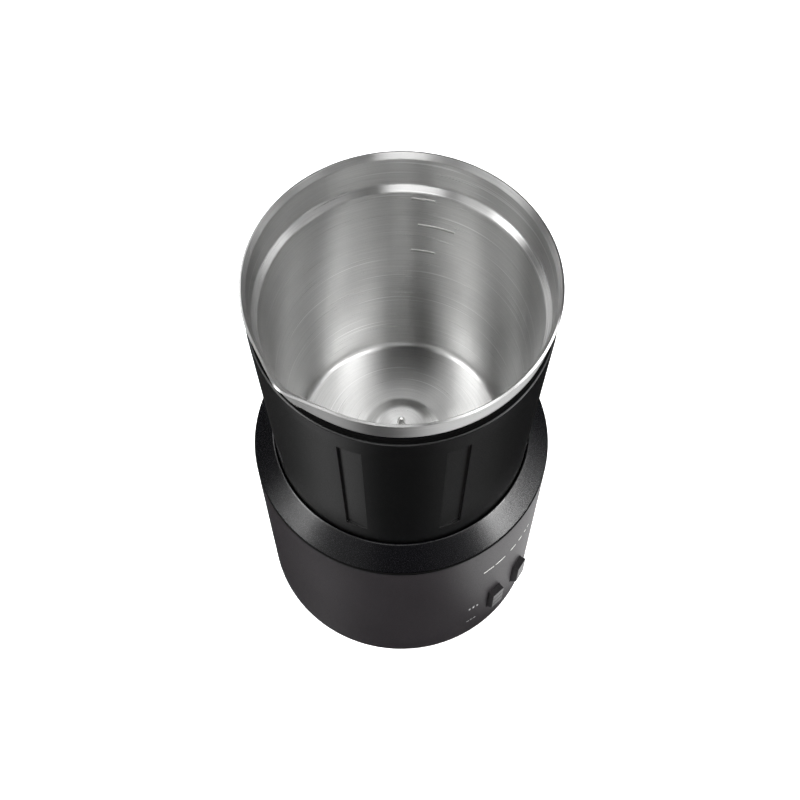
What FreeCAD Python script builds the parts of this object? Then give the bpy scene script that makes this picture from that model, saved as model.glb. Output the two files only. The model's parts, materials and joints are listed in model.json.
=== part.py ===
import FreeCAD
import Part
import math
import os

# Milk frother: a lift-off steel jug in a black sleeve, seated in the round base that heats and stirs it.
# Millimetres, +Z up. The origin is the centre of the footprint, on the surface the feet stand on.
# The control panel faces -Y and the cord gland faces +Y. Angles are degrees from +X towards +Y.

# Overall sizes
base_radius = 60.0
base_wall_height = 100.4
foot_height = 1.5
shoulder_rise = 10.4
jug_height = 120.4
front_angle = -90.0
back_angle = 90.0

# Base shell
shell_wall = 2.5
seam_gap = 0.7
base_edge_round = 1.2
ledge_height = 3.0
ledge_depth = 4.2
slip = 0.3

# Shoulder ring and the well the jug stands in
well_mouth_clearance = 0.568
well_depth = 13.8
well_wall = 1.6
well_floor_thickness = 2.0
well_relief = 0.2
shoulder_skin = 2.4
shoulder_lip_land = 0.7
shoulder_lip_depth = 4.0
shoulder_edge_round = 0.4
skirt_thickness = 3.4

# Drive boss on the well floor, under the raised hub of the jug
boss_clearance = 0.6
boss_skin = 1.2
boss_headroom = 1.0
boss_round = 1.5

# Steel liner of the jug
steel = 0.8
liner_floor_rise = 5.3
liner_floor_radius = 42.2
liner_floor_round = 3.0
liner_neck_radius = 50.45
flare_height = 13.0
flare_step = 0.3
rim_spread = 2.35
hub_rise = 4.0
hub_foot_radius = 15.3
hub_top_radius = 11.5
jug_turn = -4.0
spout_angle = 180.0
spout_half_angle = 20.5
spout_tip_round = 9.0
flare_levels = 5
outline_points = 120
mark_angle = 45.0
mark_heights = (63.9, 79.1, 93.6)
mark_widths = (9.0, 14.0, 9.0)
mark_band = 1.3
mark_proud = 0.3

# Whisk spindle standing on the hub
spindle_radius = 1.6
spindle_length = 10.0
spindle_tip = 2.0
spindle_tip_radius = 0.7
spindle_collar_radius = 2.8
spindle_collar_height = 0.8

# Sleeve round the jug
sleeve_foot_air = 4.8
sleeve_neck_fit = 0.35
sleeve_wall = 2.3
sleeve_top_land = 1.8
sleeve_thinning = 6.0
sleeve_lift = 1.1
sleeve_edge_round = 0.7
steel_band = 9.6
seal_band = 5.3
grip_pairs = 4
grip_pair_first = 45.0
grip_inner_angle = 15.7
grip_outer_angle = 25.0
grip_depth = 1.2
grip_bottom = 24.0
grip_height = 71.0

# Seal ring under the steel rim
seal_inset = 0.7
seal_clearance = 0.15
seal_top_drop = 0.7

# Foot ring and heating plate under the jug
foot_ring_overlap = 0.2
foot_ring_height = 2.5
foot_upstand_wall = 1.6
foot_upstand_height = 9.0
heat_plate_margin = 1.7
heat_plate_overlap = 1.2
heat_plate_thickness = 2.0

# Coil stack under the well floor
coil_bore_margin = 0.5
coil_edge_set_back = 0.2
coil_thickness = 4.4
coil_headroom = 0.6
former_thickness = 2.0
former_margin = 3.0
former_bore = 16.0
ferrite_count = 6
ferrite_width = 6.0
ferrite_thickness = 3.0
fixing_count = 3
fixing_first = 60.0
fixing_margin = 3.5
fixing_post = 3.0

# Temperature sensor, sprung against the heating plate
sensor_edge_margin = 0.2
sensor_angle = 0.0
sensor_radius = 2.8
sensor_flange = 3.9
sensor_flange_height = 1.3
sensor_gap = 0.2
sensor_rise = 1.2
sensor_spring_length = 5.5
sensor_holder_wall = 0.8
sensor_running = 0.3

# Motor and magnetic drive
motor_radius = 14.0
motor_length = 30.0
motor_wall = 1.0
motor_drop = 5.5
bracket_thickness = 2.0
bracket_radius = 18.0
bracket_arm = 8.0
shaft_radius = 1.5
shaft_running = 0.03
bush_radius = 4.0
end_cap_thickness = 4.0
field_magnet = 2.0
field_magnet_length = 20.0
field_magnet_span = 140.0
armature_gap = 0.6
armature_length = 18.0
armature_slots = 5
armature_slot_width = 2.4
commutator_radius = 3.6
commutator_length = 3.2
carrier_gap = 0.5
carrier_height = 6.6
drive_magnet_count = 4
drive_magnet_radius = 2.4
drive_magnet_circle = 5.4
drive_magnet_length = 4.8
motor_screw_circle = 9.5

# Screws
screw_radius = 1.25
screw_head_radius = 2.6
screw_head_height = 1.5
screw_clearance = 0.3
collar_screw_radius = 1.0
collar_screw_head = 1.8
collar_screw_inset = 1.9

# Bottom cover, feet and circuit boards
cover_thickness = 2.4
cover_boss_inset = 3.9
cover_boss_radius = 4.2
cover_boss_height = 18.0
cover_screw_angles = (30.0, 150.0, 210.0, 330.0)
foot_circle = 44.0
foot_radius = 7.0
foot_pocket = 0.8
foot_angles = (45.0, 135.0, 225.0, 315.0)
vent_count = 7
vent_pitch = 6.0
vent_width = 2.4
vent_length = 24.0
board_thickness = 1.6
board_radius = 44.0
board_front_cut = 35.0
board_post = 3.0
board_post_height = 12.0
board_post_circle = 37.0
board_post_angles = (50.0, 130.0, 205.0, 335.0)

# Parts on the power board, placed by (x, y)
capacitor_radius = 6.5
capacitor_height = 20.0
capacitor_places = ((25.0, -9.0), (25.0, 9.0))
choke_bore = 4.0
choke_radius = 9.0
choke_height = 8.0
choke_place = (0.0, 16.0)
heatsink_place = (-26.0, -8.0)
heatsink_back = 3.0
heatsink_length = 26.0
heatsink_height = 27.0
heatsink_fins = 6
fin_thickness = 1.4
fin_depth = 8.0
transistor_width = 10.0
transistor_depth = 4.5
transistor_height = 15.0
transistor_lift = 4.0
transformer_place = (-6.0, -30.0)
transformer_size = (15.0, 14.0, 13.0)
terminal_y = 29.0
terminal_size = (20.0, 8.0, 11.0)
terminal_ways = 3

# Push buttons, sized at the wall they stand out of
button_spread = 7.6
button_width = 6.5
button_foot = 17.0
button_height = 23.2
button_face_slope = 8.3
button_stand_out = 3.2
button_travel = 1.2
button_clearance = 0.3
button_flange_margin = 1.3
button_flange_thickness = 1.2
button_flange_set_back = 3.5
button_stem_radius = 1.8
button_spring_radius = 2.7
button_spring_wire = 0.2
button_spring_turns = 3.0
guide_set_back = 9.5
guide_thickness = 2.0
guide_half_width = 21.5
guide_height = 32.0
guide_foot = 12.5
stem_reach = 0.7
switch_gap = 0.1
switch_height = 2.8
switch_plunger = 1.2
switch_size = 6.0
panel_post = 2.3
panel_post_x = 18.8
panel_post_inset = 3.0
rib_bury = 0.5

switch_plunger_radius = 1.7

# Wiring
coil_lead_angles = (222.0, 230.0)
coil_lead_inset = 0.3
coil_lead_foot = 40.0
coil_lead_radius = 1.1
motor_lead_rows = (-2.0, 2.0)
motor_lead_x = 9.0
motor_lead_foot_x = 13.0
motor_lead_radius = 0.8
ribbon_span = (13.0, 23.0)
ribbon_rise = 6.0
ribbon_set_in = 4.0
ribbon_thickness = 0.9

# Cord gland in the back of the base
gland_height = 14.0
gland_bore = 3.3
gland_neck = 5.0
gland_collar = 7.5
gland_collar_thickness = 2.6
gland_inner_thickness = 2.5

# Levels, from the feet up
base_bottom_z = foot_height
wall_top_z = base_bottom_z + base_wall_height
shoulder_top_z = wall_top_z + shoulder_rise
well_floor_z = shoulder_top_z - well_depth
well_under_z = well_floor_z - well_floor_thickness
liner_floor_z = well_floor_z + liner_floor_rise
liner_under_z = liner_floor_z - steel
hub_top_z = liner_floor_z + hub_rise
rim_z = well_floor_z + jug_height
flare_root_z = rim_z - flare_height
sleeve_top_z = rim_z - steel_band - seal_band
sleeve_foot_z = well_floor_z + sleeve_lift
coil_top_z = well_under_z - coil_headroom
former_top_z = coil_top_z - coil_thickness
former_under_z = former_top_z - former_thickness
bracket_under_z = former_under_z - motor_drop - bracket_thickness
bracket_top_z = bracket_under_z + bracket_thickness
motor_top_z = bracket_under_z
motor_bottom_z = motor_top_z - motor_length
cover_top_z = base_bottom_z + cover_thickness
board_under_z = cover_top_z + board_post_height
board_top_z = board_under_z + board_thickness

# Radii that follow from the sizes above
shell_inner_radius = base_radius - shell_wall
cover_boss_circle = shell_inner_radius - cover_boss_inset
rim_inner_radius = liner_neck_radius + rim_spread
sleeve_foot_radius = liner_floor_radius + steel + sleeve_foot_air + sleeve_wall
sleeve_top_radius = liner_neck_radius + steel + sleeve_neck_fit + sleeve_top_land
seal_radius = sleeve_top_radius - seal_inset
foot_ring_inner = liner_floor_radius - foot_ring_overlap
heat_plate_inner = hub_foot_radius + heat_plate_margin
sensor_circle = heat_plate_inner + sensor_radius + sensor_edge_margin
sensor_well_radius = sensor_flange + sensor_running + sensor_holder_wall
coil_inner = sensor_circle + sensor_well_radius + coil_bore_margin
coil_outer = foot_ring_inner + heat_plate_overlap - coil_edge_set_back
fixing_circle = coil_outer + former_margin + fixing_margin
coil_lead_circle = fixing_circle - coil_lead_inset
hub_slope = math.atan2(hub_rise, hub_foot_radius - hub_top_radius)
hub_shift = steel * math.tan(hub_slope / 2)
boss_radius = hub_top_radius - hub_shift - boss_clearance
boss_top_z = hub_top_z - steel - boss_headroom
boss_inner_radius = boss_radius - boss_skin
ledge_inner_radius = shell_inner_radius - ledge_depth
ledge_top_z = well_under_z
flange_outer_radius = shell_inner_radius - slip
sleeve_taper = (sleeve_top_radius - sleeve_foot_radius) / (sleeve_top_z - well_floor_z)
well_mouth_radius = sleeve_foot_radius + well_depth * sleeve_taper + well_mouth_clearance
well_radius = well_mouth_radius + well_relief

vec = FreeCAD.Vector
up = vec(0, 0, 1)


def polar(radius, angle, z):
    """The point at a radius and an angle from the object's axis."""
    turn = math.radians(angle)
    return vec(radius * math.cos(turn), radius * math.sin(turn), z)


def rounded_wire(corners):
    """A closed wire through (point, radius) corners, each corner rounded by a tangent arc of its radius."""
    joints = []
    for i, (point, radius) in enumerate(corners):
        before = (point - corners[i - 1][0]).normalize()
        after = (corners[(i + 1) % len(corners)][0] - point).normalize()
        turn = before.getAngle(after)
        if radius > 0 and turn > 1e-6:
            run = radius * math.tan(turn / 2)
            inwards = (after - before).normalize()
            middle = point + inwards * (radius / math.cos(turn / 2) - radius)
            joints.append((point - before * run, middle, point + after * run))
        else:
            joints.append((point, None, point))
    edges = []
    for i, (start, middle, end) in enumerate(joints):
        if middle:
            edges.append(Part.Arc(start, middle, end).toShape())
        edges.append(Part.makeLine(end, joints[(i + 1) % len(joints)][0]))
    return Part.Wire(edges)


def lathe(profile):
    """A solid turned about Z from (radius, z) or (radius, z, rounding) corners."""
    corners = [(vec(p[0], 0, p[1]), p[2] if len(p) > 2 else 0) for p in profile]
    return Part.Face(rounded_wire(corners)).revolve(vec(0, 0, 0), up, 360)


def ring(inner, outer, low, high):
    return lathe([(inner, low), (outer, low), (outer, high), (inner, high)])


def sector(inner, outer, low, high, start, end):
    """A piece of a ring between two angles."""
    outline = [polar(r, start, z) for r, z in ((inner, low), (outer, low), (outer, high), (inner, high))]
    outline.append(outline[0])
    return Part.Face(Part.makePolygon(outline)).revolve(vec(0, 0, 0), up, end - start)


def rod(radius, start, end):
    """A cylinder from one point to another."""
    return Part.makeCylinder(radius, (end - start).Length, start, end - start)


def post(radius, circle, angle, low, high):
    return rod(radius, polar(circle, angle, low), polar(circle, angle, high))


def block(x0, x1, y0, y1, z0, z1):
    return Part.makeBox(x1 - x0, y1 - y0, z1 - z0, vec(x0, y0, z0))


def turned(shape, angle):
    copy = shape.copy()
    copy.rotate(vec(0, 0, 0), up, angle)
    return copy


def spaced(count, first=0.0):
    return [first + 360.0 * i / count for i in range(count)]


def screw(head_at, tip_at, head_radius=screw_head_radius, radius=screw_radius):
    """A pan-head screw: the head sits behind head_at, and the shank runs to tip_at."""
    back = (head_at - tip_at).normalize() * screw_head_height
    return rod(head_radius, head_at, head_at + back).fuse(rod(radius, head_at, tip_at)).removeSplitter()


def tube(points, radius, bend):
    """A round wire along straight runs joined by tangent arcs."""
    edges = []
    here = points[0]
    for i in range(1, len(points) - 1):
        before = (points[i] - points[i - 1]).normalize()
        after = (points[i + 1] - points[i]).normalize()
        turn = before.getAngle(after)
        run = bend * math.tan(turn / 2)
        inwards = (after - before).normalize()
        middle = points[i] + inwards * (bend / math.cos(turn / 2) - bend)
        edges.append(Part.makeLine(here, points[i] - before * run))
        edges.append(Part.Arc(points[i] - before * run, middle, points[i] + after * run).toShape())
        here = points[i] + after * run
    edges.append(Part.makeLine(here, points[-1]))
    end = Part.Wire([Part.Circle(points[0], points[1] - points[0], radius).toShape()])
    return Part.Wire(edges).makePipeShell([end], True, True)


def coil_spring(radius, wire, length, turns, base, direction):
    """A helical spring from base along direction, its wire inside the given outer radius."""
    middle = radius - wire
    pitch = (length - 2 * wire) / turns
    helix = Part.makeLongHelix(pitch, pitch * turns, middle)
    end = Part.Wire([Part.Circle(vec(middle, 0, 0), vec(0, 1, 0), wire).toShape()])
    spring = Part.Wire(helix).makePipeShell([end], True, True)
    spring.translate(vec(0, 0, wire))
    spring.Placement = FreeCAD.Placement(base, FreeCAD.Rotation(up, direction)).multiply(spring.Placement)
    return spring


def write(name, *shapes):
    """Write one named sub-part, a single solid or a group of separate solids."""
    solids = [solid for shape in shapes for solid in shape.Solids]
    whole = solids[0] if len(solids) == 1 else Part.makeCompound(solids)
    whole.exportStep(os.path.join("parts", name + ".step"))
    print(f"{name:24s} solids {len(solids):2d}  volume {sum(s.Volume for s in solids) / 1000:8.2f} cm3"
          f"  {'ok' if all(s.isValid() for s in solids) else 'NOT VALID'}")


# ---------------------------------------------------------------- jug

def liner_radius(z):
    """Inside radius of the liner's tapering wall."""
    share = (z - liner_floor_z) / (flare_root_z - liner_floor_z)
    return liner_floor_radius + share * (liner_neck_radius - liner_floor_radius)


def sleeve_radius(z):
    """Outside radius of the sleeve, which widens upwards."""
    return sleeve_foot_radius + (z - well_floor_z) * sleeve_taper


def flare_radius(z):
    """Inside radius of the flared mouth: it spreads quickly at its root, then stands up at the rim."""
    share = (z - flare_root_z) / flare_height
    root = liner_neck_radius + flare_step
    return root + (rim_inner_radius - root) * (1 - (1 - share) ** 2)


def spout_reach(angle):
    """How far the rim stands out of its circle at an angle from the spout: two tangents and a tip arc."""
    half = math.radians(spout_half_angle)
    off = abs(math.radians((angle - spout_angle + 180) % 360 - 180))
    if off >= half:
        return 0.0
    tangent = rim_inner_radius / math.cos(half - off)
    centre = (rim_inner_radius - spout_tip_round) / math.cos(half)
    across = spout_tip_round ** 2 - (centre * math.sin(off)) ** 2
    tip = centre * math.cos(off) + math.sqrt(across) if across > 0 else tangent
    beyond_tip = off > math.atan2(spout_tip_round * math.sin(half), centre + spout_tip_round * math.cos(half))
    return (tangent if beyond_tip else tip) - rim_inner_radius


def flare_outline(z, skin):
    """The closed outline of the flared mouth at one level, skin thicker than its inside face."""
    share = (z - flare_root_z) / flare_height
    points = []
    for i in range(outline_points):
        angle = spout_angle + 360.0 * i / outline_points
        points.append(polar(flare_radius(z) + skin + spout_reach(angle) * share ** 2, angle, z))
    curve = Part.BSplineCurve()
    curve.interpolate(Points=points, PeriodicFlag=True)
    return Part.Wire([curve.toShape()])


def flare_solid(skin):
    levels = [flare_root_z + flare_height * i / (flare_levels - 1) for i in range(flare_levels)]
    return Part.makeLoft([flare_outline(z, skin) for z in levels], True, False)


def jug_liner():
    body = lathe([
        (0, hub_top_z),
        (hub_top_radius, hub_top_z, 1.5),
        (hub_foot_radius, liner_floor_z, 1.5),
        (liner_floor_radius, liner_floor_z, liner_floor_round),
        (liner_neck_radius, flare_root_z),
        (liner_neck_radius + steel, flare_root_z),
        (liner_floor_radius + steel, liner_under_z, liner_floor_round + steel),
        (hub_foot_radius - hub_shift, liner_under_z, 1.0),
        (hub_top_radius - hub_shift, hub_top_z - steel, 1.0),
        (0, hub_top_z - steel),
    ])
    mouth = flare_solid(steel).cut(flare_solid(0.0))
    whole = body.fuse(mouth)
    for height, width in zip(mark_heights, mark_widths):
        whole = whole.fuse(level_mark(liner_floor_z + height, width))
    return turned(whole.removeSplitter(), jug_turn)


def level_mark(z, width):
    """A level bar pressed out of the wall, standing proud on its inside face."""
    radius = liner_radius(z)
    half = math.degrees(width / 2 / radius)
    return sector(radius - mark_proud, radius + steel / 2, z - mark_band / 2, z + mark_band / 2,
                  mark_angle - half, mark_angle + half)


def whisk_spindle():
    tip_z = hub_top_z + spindle_length
    return lathe([
        (0, hub_top_z),
        (spindle_collar_radius, hub_top_z),
        (spindle_collar_radius, hub_top_z + spindle_collar_height, 0.3),
        (spindle_radius, hub_top_z + spindle_collar_height),
        (spindle_radius, tip_z - spindle_tip),
        (spindle_tip_radius, tip_z, 0.3),
        (0, tip_z),
    ])


def grip_cutter(side):
    """The wedge cut from the sleeve by one grip: flush at its inner edge and deepest at its outer edge."""
    low = well_floor_z + grip_bottom
    sections = []
    for z in (low, low + grip_height):
        radius = sleeve_radius(z)
        corners = [
            polar(radius, side * grip_inner_angle, z),
            polar(radius - grip_depth, side * grip_outer_angle, z),
            polar(radius + grip_depth, side * grip_outer_angle, z),
            polar(radius + grip_depth, side * grip_inner_angle, z),
        ]
        sections.append(Part.makePolygon(corners + corners[:1]))
    return Part.makeLoft(sections, True, True)


def jug_sleeve():
    thin_z = sleeve_top_z - sleeve_thinning
    shell = lathe([
        (sleeve_radius(sleeve_foot_z) - sleeve_wall, sleeve_foot_z),
        (sleeve_radius(sleeve_foot_z), sleeve_foot_z),
        (sleeve_top_radius, sleeve_top_z, sleeve_edge_round),
        (sleeve_top_radius - sleeve_top_land, sleeve_top_z),
        (sleeve_radius(thin_z) - sleeve_wall, thin_z),
    ])
    for pair in spaced(grip_pairs, grip_pair_first):
        for side in (-1, 1):
            shell = shell.cut(turned(grip_cutter(side), pair))
    return turned(shell, jug_turn)


def rim_seal():
    top_z = sleeve_top_z + seal_band - seal_top_drop
    gap = steel + seal_clearance
    return lathe([
        (liner_neck_radius + flare_step + gap, sleeve_top_z),
        (seal_radius, sleeve_top_z),
        (seal_radius, top_z),
        (flare_radius(top_z) + gap, top_z),
        (flare_radius((flare_root_z + top_z) / 2) + gap, (flare_root_z + top_z) / 2),
        (liner_neck_radius + flare_step + gap, flare_root_z),
    ])


def jug_foot():
    sleeve_inside = sleeve_radius(sleeve_foot_z) - sleeve_wall
    upstand = sleeve_inside - slip
    plate_z = well_floor_z + foot_ring_height
    return lathe([
        (foot_ring_inner, well_floor_z, 0.4),
        (sleeve_foot_radius - slip, well_floor_z, 0.4),
        (sleeve_foot_radius - slip, sleeve_foot_z),
        (upstand, sleeve_foot_z),
        (upstand, well_floor_z + foot_upstand_height),
        (upstand - foot_upstand_wall, well_floor_z + foot_upstand_height),
        (upstand - foot_upstand_wall, plate_z),
        (foot_ring_inner, plate_z),
    ])


def heating_plate():
    return ring(heat_plate_inner, foot_ring_inner + heat_plate_overlap,
                liner_under_z - heat_plate_thickness, liner_under_z)


# ---------------------------------------------------------------- base shell

def panel_posts():
    """The four places where the panel frame, the control board and their screws line up."""
    low = base_bottom_z + guide_foot + panel_post_inset
    high = base_bottom_z + guide_foot + guide_height - panel_post_inset
    return [(x, z) for x in (-panel_post_x, panel_post_x) for z in (low, high)]


def guide_front_y():
    return -(base_radius - guide_set_back)


def button_key(margin):
    """A button's key in its own frame, where x is radius and z is height, grown all round by a margin."""
    foot_z = base_bottom_z + button_foot - margin
    top_z = base_bottom_z + button_foot + button_height + margin
    face = base_radius + button_stand_out
    inner = base_radius - button_flange_set_back
    width = button_width + 2 * margin
    corners = [
        vec(inner, -width / 2, foot_z),
        vec(shell_inner_radius, -width / 2, foot_z),
        vec(face, -width / 2, foot_z + button_face_slope),
        vec(face, -width / 2, top_z),
        vec(inner, -width / 2, top_z),
    ]
    return Part.Face(Part.makePolygon(corners + corners[:1])).extrude(vec(0, width, 0))


def button_angles():
    return {"left": front_angle - button_spread, "right": front_angle + button_spread}


def base_housing():
    shell = lathe([
        (shell_inner_radius, base_bottom_z),
        (base_radius, base_bottom_z, base_edge_round),
        (base_radius, wall_top_z, 0.3),
        (shell_inner_radius, wall_top_z),
        (shell_inner_radius, ledge_top_z),
        (ledge_inner_radius, ledge_top_z),
        (ledge_inner_radius, ledge_top_z - ledge_height),
        (shell_inner_radius, ledge_top_z - ledge_height - ledge_depth),
    ])
    for angle in cover_screw_angles:
        shell = shell.fuse(post(cover_boss_radius, cover_boss_circle, angle,
                                cover_top_z, cover_top_z + cover_boss_height))
    for x, z in panel_posts():
        rib_end = -math.sqrt(shell_inner_radius ** 2 - (abs(x) - panel_post) ** 2) - rib_bury
        shell = shell.fuse(block(x - panel_post, x + panel_post, rib_end, guide_front_y(),
                                 z - panel_post, z + panel_post))
        shell = shell.cut(rod(screw_radius, vec(x, panel_screw_tip_y(), z), vec(x, guide_front_y(), z)))
    for angle in cover_screw_angles:
        shell = shell.cut(post(screw_radius, cover_boss_circle, angle,
                               cover_top_z, cover_top_z + cover_boss_height - shell_wall))
    for angle in spaced(fixing_count):
        head_z = ledge_top_z - ledge_height
        shell = shell.cut(post(collar_screw_radius + slip / 2, collar_circle(), angle,
                               head_z, ledge_top_z))
        shell = shell.cut(post(collar_screw_head + slip / 2, collar_circle(), angle,
                               head_z - ledge_depth, head_z))
    for angle in button_angles().values():
        shell = shell.cut(turned(button_key(button_clearance), angle))
    bore = rod(gland_neck, polar(ledge_inner_radius, back_angle, base_bottom_z + gland_height),
               polar(base_radius + shell_wall, back_angle, base_bottom_z + gland_height))
    return shell.cut(bore)


def collar_circle():
    """The circle of the screws that hold the well and the shoulder ring on the housing's ledge."""
    return flange_outer_radius - collar_screw_inset


def lip_under_z():
    return shoulder_top_z - shoulder_lip_depth


def shoulder_ring():
    """The sloping ring round the well's mouth, with a skirt inside the housing down to the well's flange."""
    foot_z = ledge_top_z + well_floor_thickness
    outer_z = wall_top_z + seam_gap
    crest = well_mouth_radius + shoulder_lip_land
    rise = (shoulder_top_z - outer_z) / (base_radius - crest)
    drop = shoulder_skin * math.hypot(1, rise)
    seat = well_radius + well_wall + well_relief
    skirt_inner = flange_outer_radius - skirt_thickness
    whole = lathe([
        (flange_outer_radius, foot_z),
        (flange_outer_radius, outer_z),
        (base_radius, outer_z, 0.3),
        (crest, shoulder_top_z, shoulder_edge_round),
        (well_mouth_radius, shoulder_top_z, shoulder_edge_round),
        (well_mouth_radius, lip_under_z()),
        (seat, lip_under_z()),
        (seat, outer_z + rise * (base_radius - seat) - drop),
        (skirt_inner, outer_z + rise * (base_radius - skirt_inner) - drop),
        (skirt_inner, foot_z),
    ])
    for angle in spaced(fixing_count):
        whole = whole.cut(post(collar_screw_radius, collar_circle(), angle, foot_z, wall_top_z))
    return whole


def well_cup():
    cup = lathe([
        (0, boss_top_z),
        (boss_radius, boss_top_z, boss_round),
        (boss_radius, well_floor_z, 1.0),
        (well_radius, well_floor_z, 1.0),
        (well_radius, lip_under_z()),
        (well_radius + well_wall, lip_under_z()),
        (well_radius + well_wall, well_floor_z),
        (flange_outer_radius, well_floor_z),
        (flange_outer_radius, well_under_z),
        (boss_inner_radius, well_under_z),
        (boss_inner_radius, boss_top_z - boss_skin),
        (0, boss_top_z - boss_skin),
    ])
    for angle in spaced(fixing_count, fixing_first):
        cup = cup.fuse(post(fixing_post, fixing_circle, angle, former_top_z, well_under_z))
        cup = cup.cut(post(screw_radius, fixing_circle, angle, former_top_z, well_under_z))
    cup = cup.cut(post(sensor_radius + sensor_running, sensor_circle, sensor_angle,
                       well_under_z - 1, well_floor_z + 1))
    for angle in spaced(fixing_count):
        cup = cup.cut(post(collar_screw_radius + slip / 2, collar_circle(), angle,
                           well_under_z, well_floor_z))
    return cup


def collar_screws():
    head_z = ledge_top_z - ledge_height
    return [screw(polar(collar_circle(), angle, head_z), polar(collar_circle(), angle, wall_top_z),
                  collar_screw_head, collar_screw_radius) for angle in spaced(fixing_count)]


def bottom_cover():
    cover = lathe([
        (0, base_bottom_z),
        (flange_outer_radius, base_bottom_z, 0.5),
        (flange_outer_radius, cover_top_z),
        (0, cover_top_z),
    ])
    for angle in board_post_angles:
        cover = cover.fuse(post(board_post, board_post_circle, angle, cover_top_z, board_under_z))
        cover = cover.cut(post(screw_radius, board_post_circle, angle, cover_top_z, board_under_z))
    for angle in foot_angles:
        cover = cover.cut(post(foot_radius, foot_circle, angle, base_bottom_z, base_bottom_z + foot_pocket))
    for angle in cover_screw_angles:
        cover = cover.cut(post(screw_radius + screw_clearance, cover_boss_circle, angle,
                               base_bottom_z, cover_top_z))
        cover = cover.cut(post(screw_head_radius + screw_clearance, cover_boss_circle, angle,
                               base_bottom_z, base_bottom_z + screw_head_height))
    for i in range(vent_count):
        x = (i - (vent_count - 1) / 2) * vent_pitch
        slot = block(x - vent_width / 2, x + vent_width / 2, -vent_length / 2, vent_length / 2,
                     base_bottom_z, cover_top_z)
        cover = cover.cut(slot)
    return cover


def cover_screws():
    head_z = base_bottom_z + screw_head_height
    tip_z = cover_top_z + cover_boss_height / 2
    return [screw(polar(cover_boss_circle, angle, head_z), polar(cover_boss_circle, angle, tip_z))
            for angle in cover_screw_angles]


def rubber_feet():
    pads = []
    for angle in foot_angles:
        pad = lathe([(0, 0), (foot_radius - 0.6, 0, 0.5), (foot_radius, base_bottom_z + foot_pocket),
                     (0, base_bottom_z + foot_pocket)])
        pad.translate(polar(foot_circle, angle, 0))
        pads.append(pad)
    return pads


def cord_gland():
    """A moulded gland: an outer collar, a neck through the wall and an inner collar that holds it."""
    wall_flat = math.sqrt(base_radius ** 2 - gland_collar ** 2)
    inner_flat = math.sqrt(shell_inner_radius ** 2 - gland_collar ** 2)
    outside = base_radius + gland_collar_thickness
    inside = inner_flat - gland_inner_thickness
    gland = lathe([
        (gland_bore, inside),
        (gland_collar, inside),
        (gland_collar, outside, 1.0),
        (gland_bore, outside, 0.6),
    ])
    groove = ring(gland_neck, gland_collar + 1, inner_flat, wall_flat)
    gland = gland.cut(groove)
    saddle = ring(shell_inner_radius, base_radius + slip / 3, -gland_collar - 1, gland_collar + 1)
    saddle = saddle.cut(rod(gland_neck, vec(0, 0, 0), vec(0, 2 * base_radius, 0)))
    gland.Placement = FreeCAD.Placement(vec(0, 0, 0), FreeCAD.Rotation(up, vec(0, 1, 0)))
    gland = gland.cut(saddle)
    gland.translate(vec(0, 0, base_bottom_z + gland_height))
    return max(gland.Solids, key=lambda solid: solid.Volume)


# ---------------------------------------------------------------- heater and sensor

def coil_former():
    disc = ring(former_bore, coil_outer + former_margin, former_under_z, former_top_z)
    disc = disc.fuse(ring(coil_inner - 1.5, coil_inner - 0.1, former_top_z, coil_top_z))
    for angle in spaced(fixing_count, fixing_first):
        disc = disc.fuse(post(fixing_post + 0.6, fixing_circle, angle, former_under_z, former_top_z))
        disc = disc.cut(post(screw_radius + screw_clearance, fixing_circle, angle,
                             former_under_z, former_top_z))
    return disc.cut(post(sensor_well_radius, sensor_circle, sensor_angle,
                         former_under_z - 1, coil_top_z + 1))


def induction_coil():
    return ring(coil_inner, coil_outer, former_top_z, coil_top_z)


def ferrite_bars():
    bars = []
    for angle in spaced(ferrite_count, sensor_angle + 180.0 / ferrite_count):
        bar = block(coil_inner, coil_outer, -ferrite_width / 2, ferrite_width / 2,
                    former_under_z - ferrite_thickness, former_under_z)
        bars.append(turned(bar, angle))
    return bars


def sensor_top_z():
    return liner_under_z - heat_plate_thickness - sensor_gap


def sensor_flange_top_z():
    return well_under_z - sensor_rise


def place_sensor(shape):
    shape.translate(polar(sensor_circle, sensor_angle, 0))
    return shape


def sensor_cap():
    flange_top = sensor_flange_top_z()
    return place_sensor(lathe([
        (0, sensor_top_z()),
        (sensor_radius, sensor_top_z(), 0.5),
        (sensor_radius, flange_top),
        (sensor_flange, flange_top),
        (sensor_flange, flange_top - sensor_flange_height),
        (0, flange_top - sensor_flange_height),
    ]))


def sensor_spring():
    top = sensor_flange_top_z() - sensor_flange_height
    spring = coil_spring(sensor_flange - 0.4, 0.3, sensor_spring_length, 4.0,
                         vec(0, 0, top - sensor_spring_length), up)
    return place_sensor(spring)


def sensor_holder():
    bore = sensor_flange + sensor_running
    floor_z = sensor_flange_top_z() - sensor_flange_height - sensor_spring_length
    return place_sensor(lathe([
        (0, floor_z),
        (bore, floor_z),
        (bore, well_under_z),
        (sensor_well_radius, well_under_z),
        (sensor_well_radius, floor_z - sensor_holder_wall),
        (0, floor_z - sensor_holder_wall),
    ]))


# ---------------------------------------------------------------- motor and magnetic drive

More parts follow.
